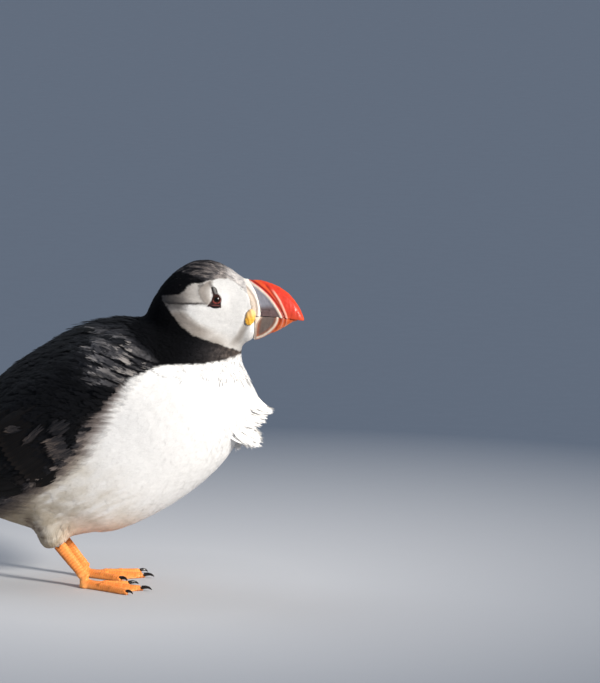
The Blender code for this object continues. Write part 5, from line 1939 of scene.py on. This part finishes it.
class PUFFIN_OT_flanks(bpy.types.Operator):
    """Adds the fine hair-like feathers where wing and white flank meet, and the frayed, faded tips low on the
    wing
    """
    bl_idname = "puffin.flanks"
    bl_label = "Flank feathers"

    def execute(self, context):
        border = tuple(p for p in WHITE_UNDERPARTS if -60 < p[0] < 24 and p[1] > 40)

        def area(points):
            x, z = laid(points)
            below = ramp(within(x, z, WHITE_UNDERPARTS), -7.0, -3.0)
            return ramp(near_line(x, z, border), 8.5, 2.0) * below * (np.abs(points[:, 1]) > 12)

        rng = np.random.default_rng(91)
        tri, weights, roots = scattered(lambda p: 0.75 * area(p), 91)
        normals, seats = rooted(tri, weights)
        ways = lie(roots, normals, 10, rng)
        lengths = 7.0 + 3.5 * rng.random(len(roots))
        course = combed(roots, normals, ways, lengths, 4)
        depth = coat_depth(course[0][:, 0])[:, None]
        parts = grown_feathers(
            plume_pattern(3, 0.16), course, np.full(len(roots), 2.4),
            lambda u: depth * (0.45 + 0.4 * u), rng, 0.5, 0.1, 0.15,
        )
        shade = 0.72 + 0.38 * rng.random(len(roots))
        colours = markings(parts.points) * shade[parts.feather][:, None]
        coat_piece("flank_feathers", parts, seats, colours, soft_feather(), "white_plumage")
        for side in SIDES:
            self.worn_tips(side, rng)
        return {"FINISHED"}

    def worn_tips(self, side, rng):
        """Frayed, sun-bleached strands over the dark coverts."""
        tint = palette("puffin_plumage")
        courses, shares = [], []
        for starts, ends, count, pale in WORN_FANS:
            for place in rng.random(count):
                first, last = (
                    np.array(line[0]) * (1 - place) + np.array(line[1]) * place for line in (starts, ends)
                )
                first = blend(first, last, 0.55 * rng.random()) + 0.8 * rng.standard_normal(2)
                last = blend(last, first, 0.35 * rng.random()) + 0.9 * rng.standard_normal(2)
                line = np.array((first, last)) + np.array(MARKING_LEAN) * WING_OUT
                middle_line = np.stack((line[:, 0], np.zeros(2), line[:, 1]), 1)
                path = np.linspace(*np.stack(on_axis(middle_line), 1), 6)
                courses.append(laid_on_side(path, side, np.linspace(0.4, 1.1, 6) + 0.5 * rng.random()))
                shares.append(pale * (0.2 + 0.85 * rng.random()))
        parts = grown_feathers(
            plume_pattern(3, 0.28), stacked(courses), 0.9 + 0.7 * rng.random(len(courses)), np.zeros_like,
            rng, 0.35, 0.12, 0.2,
        )
        share = np.array(shares)[parts.feather] * (0.6 + 0.4 * ramp(parts.patch[:, 1], -0.5, 0.2))
        colours = toned(tint.black * 2, tint.tan, np.clip(share, 0, 1))
        seats = nearest_seat(stacked(courses)[0].mean(1))
        name = "worn_wing_feathers_" + side_name(side)
        coat_piece(name, parts, seats, colours, firm_feather(), "black_plumage")


class PUFFIN_OT_bill(bpy.types.Operator):
    """Makes the grooved upper and lower bill with their bands, and the ridge round their base"""
    bl_idname = "puffin.bill"
    bl_label = "Bill"

    def execute(self, context):
        horn = tinted_material("grooved_bill_horn", 0.40, 1.6, 0.05, gloss=0.10, soft=0.05)
        for name, node, upper in (("upper_bill", "bill_upper", True), ("lower_bill", "bill_lower", False)):
            relief, colours = (functools.partial(of, upper=upper) for of in (bill_relief, bill_colours))
            horn_piece(name, (node,), 0.34, 10, relief, colours, horn, "bill_horn", 0.25, narrowed_top)

        def ridge_colours(points):
            tint = palette("puffin_bill")
            _, _, (base, _, _) = bill_marks(points, True)
            grain = mottle(points, (0.8, 2.0, 2.5), 141)
            # painted highlight: the ridge's front band drawn whiter than its cream
            highlight_cream = np.minimum(tint.cream * (1.07, 1.18, 1.30), 0.9)
            colour = mix(tint.cream, highlight_cream, ramp(base, 0.2, 1.0))
            colour = mix(colour, tint.ridge_line, 0.85 * bump_at(base, 0.05, 0.95))
            colour = mix(colour, tint.ridge_line, 0.5 * ramp(base, -1.9, -2.3))
            return colour * (1 + 0.05 * grain)[:, None]

        def ridge_relief(points):
            _, _, (base, _, _) = bill_marks(points, True)
            return -0.25 * bump_at(base, 0.15, 0.6) + 0.06 * mottle(points, 1.1, 142)

        ridge = tinted_material("base_ridge_horn", 0.45, 1.2, 0.06, gloss=0.1, soft=0.1)
        horn_piece(
            "bill_base", ("bill_base_ridge",), 0.34, 8, ridge_relief, ridge_colours,
            ridge, "ridge_horn", 0.3, seated_ridge,
        )
        return {"FINISHED"}


class PUFFIN_OT_rosettes(bpy.types.Operator):
    """Makes the folded orange skin at the corners of the mouth"""
    bl_idname = "puffin.rosettes"
    bl_label = "Rosettes"

    def execute(self, context):
        tint = palette("puffin_bill")
        skin = tinted_material("gape_skin", 0.5, 0.9, 0.08, soft=0.15)

        def fold_wave(points):
            """1 on the folds and -1 between them; they run up and down the rosette."""
            x, z = laid(points)
            across = (x - 94) * 0.95 + (z - 159) * 0.30
            return np.cos(across * 2.6 + 0.9 * mottle(points, 2.0, 151))

        def folds(points):
            return 0.10 * fold_wave(points) + 0.05 * mottle(points, 0.8, 152)

        def colours(points):
            _, z = laid(points)
            colour = mix(tint.rosette, tint.rosette * (1.0, 0.80, 0.6), 0.6 * (0.5 - 0.5 * fold_wave(points)))
            return mix(colour, tint.rosette * (1.0, 1.35, 6.0), 0.6 * ramp(z, 158, 164))

        for side in SIDES:
            name = side_name(side)
            horn_piece(
                "rosette_skin_" + name, ("rosette_" + name,), 0.2, 5, folds, colours, skin, "gape_skin", 0.1
            )
        return {"FINISHED"}


class PUFFIN_OT_eyes(bpy.types.Operator):
    """Makes the wet eyes, the fleshy rings round them and the small horn plates"""
    bl_idname = "puffin.eyes"
    bl_label = "Eyes"

    def execute(self, context):
        tint = palette("puffin_eyes")
        wet = tinted_material("wet_eye", 0.2, 3.0, 0.0, gloss=0.2, vary=0.02)
        wet.node_tree.nodes["Principled BSDF"].inputs["Coat Roughness"].default_value = 0.06
        flesh = tinted_material("eye_flesh", 0.42, 0.5, 0.05, gloss=0.15, soft=0.1)
        plate = tinted_material("eye_plate_horn", 0.45, 0.6, 0.05, vary=0.2)

        def above(points):
            x, z = laid(points)
            across = (x - 73.9) * 0.96 + (z - 175.2) * 0.28
            rim = np.maximum(ramp(np.abs(across), 0.45, 1.15), ramp(z, 177.5, 179))
            return mix(tint.plate, PLATE_RIM, rim)

        def below(points):
            x, z = laid(points)
            rim = np.maximum(ramp(z, 166.4, 165.7), 0.6 * ramp(np.abs(x - 74.0), 2.5, 4.2))
            return mix(tint.lower_plate * 1.6, LOWER_PLATE_RIM, rim)

        for side in SIDES:
            name = side_name(side)
            show("eye_ball_" + name, eye_ball(side), wet, "eye_wet", "eye_" + name)
            show("eye_ring_" + name, eye_ring(side), flesh, "gape_skin")
            for part, colours in (("above", above), ("below", below)):
                solids = (f"eye_plate_{part}_{name}",)
                piece = f"horn_{part}_eye_{name}"
                horn_piece(piece, solids, 0.16, 3, None, colours, plate, "eye_plate_horn")
        return {"FINISHED"}


class PUFFIN_OT_feet(bpy.types.Operator):
    """Makes the scaled shanks, webbed toes and claws"""
    bl_idname = "puffin.feet"
    bl_label = "Feet"

    def execute(self, context):
        hide = tinted_material("foot_skin", 0.46, 0.8, 0.07, gloss=0.08, soft=0.18)
        horn = tinted_material("claw_horn", 0.3, 1.5, 0.04, gloss=0.3)

        def finer_claw(points, edges):
            root = np.array((points[:, 0].min(), points[:, 1].mean(), points[:, 2].min()))
            return root + (points - root) * (0.92, 0.78, 0.80)

        def claw_colours(points):
            return palette("puffin_feet").claw * (1 + 0.4 * mottle(points, (1.0, 0.5, 0.5), 161))[:, None]

        for side in SIDES:
            name = side_name(side)
            horn_piece(
                "leg_" + name, ("tarsus_" + name, "foot_" + name), 0.42, 4,
                foot_relief(side), foot_colours(side), hide, "foot_skin", 0.0, ankle_rounded(side),
            )
            for toe in ("inner", "middle", "outer"):
                horn_piece(
                    f"{toe}_claw_{name}", (f"claw_{toe}_{name}",), 0.2, 4,
                    None, claw_colours, horn, "claw_horn", 0.0, finer_claw,
                )
        return {"FINISHED"}


class PUFFIN_OT_stage(bpy.types.Operator):
    """Adds the floor, the lights and the camera"""
    bl_idname = "puffin.stage"
    bl_label = "Stage"

    def execute(self, context):
        stage = context.scene.puffin_stage
        self.lay_floor(stage)
        self.add_sun("key_light", 58, 20, stage.key, 9.0, (1.0, 0.95, 0.88))
        self.add_sun("back_light", 235, 50, stage.key * 0.10, 40.0, (0.85, 0.92, 1.0))
        world = bpy.data.worlds.new("studio_air")
        world.use_nodes = True
        background = world.node_tree.nodes["Background"]
        background.inputs["Color"].default_value = (0.62, 0.70, 0.85, 1)
        background.inputs["Strength"].default_value = stage.sky
        context.scene.world = world
        context.scene.view_settings.view_transform = "Standard"
        self.add_camera(stage)
        return {"FINISHED"}

    def lay_floor(self, stage):
        """A wide floor, paler round the feet than further off."""
        half = FLOOR_HALF
        corners = [(-half, -half, 0), (half, -half, 0), (half, half, 0), (-half, half, 0)]
        mesh = bpy.data.meshes.new("floor")
        mesh.from_pydata(corners, [], [(0, 1, 2, 3)])
        floor = bpy.data.objects.new("floor", mesh)
        bpy.context.scene.collection.objects.link(floor)
        floor.location.z = -0.2 * MM
        material, nodes, links, shader = new_material("studio_floor")
        place = nodes.new("ShaderNodeTexCoord").outputs["Object"]
        away = nodes.new("ShaderNodeVectorMath")
        away.operation = "LENGTH"
        links.new(place, away.inputs[0])
        share = ranged(nodes, links, away.outputs["Value"], 0.12, 0.60, 0.0, 1.0)
        faded = nodes.new("ShaderNodeMix")
        faded.data_type = "RGBA"
        faded.inputs[6].default_value = (*stage.floor, 1)
        faded.inputs[7].default_value = (*stage.distance, 1)
        links.new(share, faded.inputs["Factor"])
        links.new(faded.outputs[2], shader.inputs["Base Color"])
        grain = noise(nodes, links, place, 60.0, 4.0, 0.6)
        links.new(ranged(nodes, links, grain, 0.3, 0.7, 0.82, 0.95), shader.inputs["Roughness"])
        shader.inputs["Specular IOR Level"].default_value = 0.1
        mesh.materials.append(material)

    def add_sun(self, name, azimuth, elevation, strength, angle, colour):
        light = bpy.data.lights.new(name, "SUN")
        light.energy, light.angle, light.color = strength, math.radians(angle), colour
        back = seen_from(azimuth, elevation)
        self.add_looking(name, light, back * 2, back)

    def add_camera(self, stage):
        camera = bpy.data.cameras.new("camera")
        camera.lens, camera.sensor_width = stage.lens, 36.0
        camera.clip_start, camera.clip_end = 0.1, 40.0
        back = seen_from(stage.azimuth, stage.elevation)
        place = Vector(ORIGIN) + Vector(CAMERA_AIM) + back * stage.camera_distance
        bpy.context.scene.camera = self.add_looking("camera", camera, place, back)

    def add_looking(self, name, data, place, back):
        """A light or camera at a place, turned to look against the way back."""
        obj = bpy.data.objects.new(name, data)
        obj.location = place
        obj.rotation_euler = back.to_track_quat("Z", "Y").to_euler()
        bpy.context.scene.collection.objects.link(obj)
        return obj


GROUPS = (
    ("puffin_plumage", PuffinPlumage), ("puffin_bill", PuffinBill), ("puffin_eyes", PuffinEyes),
    ("puffin_feet", PuffinFeet), ("puffin_stage", PuffinStage),
)
OPERATORS = (
    PUFFIN_OT_stage, PUFFIN_OT_skin, PUFFIN_OT_bill, PUFFIN_OT_rosettes, PUFFIN_OT_eyes, PUFFIN_OT_feet,
    PUFFIN_OT_face, PUFFIN_OT_hood, PUFFIN_OT_underparts, PUFFIN_OT_trousers, PUFFIN_OT_back,
    PUFFIN_OT_wings, PUFFIN_OT_tail, PUFFIN_OT_locks, PUFFIN_OT_flanks,
)


class PUFFIN_PT_panel(bpy.types.Panel):
    """Lists the puffin's pieces in the order in which they are made"""
    bl_label = "Puffin"
    bl_idname = "PUFFIN_PT_panel"
    bl_space_type = "VIEW_3D"
    bl_region_type = "UI"
    bl_category = "Puffin"

    def draw(self, context):
        for operator in OPERATORS:
            self.layout.operator(operator.bl_idname)
        for name, group in GROUPS:
            box = self.layout.box()
            box.label(text=group.__doc__)
            for key in group.__annotations__:
                box.prop(getattr(context.scene, name), key)


def register():
    for name, group in GROUPS:
        bpy.utils.register_class(group)
        setattr(bpy.types.Scene, name, PointerProperty(type=group))
    for cls in (*OPERATORS, PUFFIN_PT_panel):
        bpy.utils.register_class(cls)


def unregister():
    for cls in reversed((*OPERATORS, PUFFIN_PT_panel)):
        bpy.utils.unregister_class(cls)
    for name, group in reversed(GROUPS):
        delattr(bpy.types.Scene, name)
        bpy.utils.unregister_class(group)


def main():
    register()
    for operator in OPERATORS:
        group, name = operator.bl_idname.split(".")
        getattr(getattr(bpy.ops, group), name)()


if __name__ == "__main__":
    main()
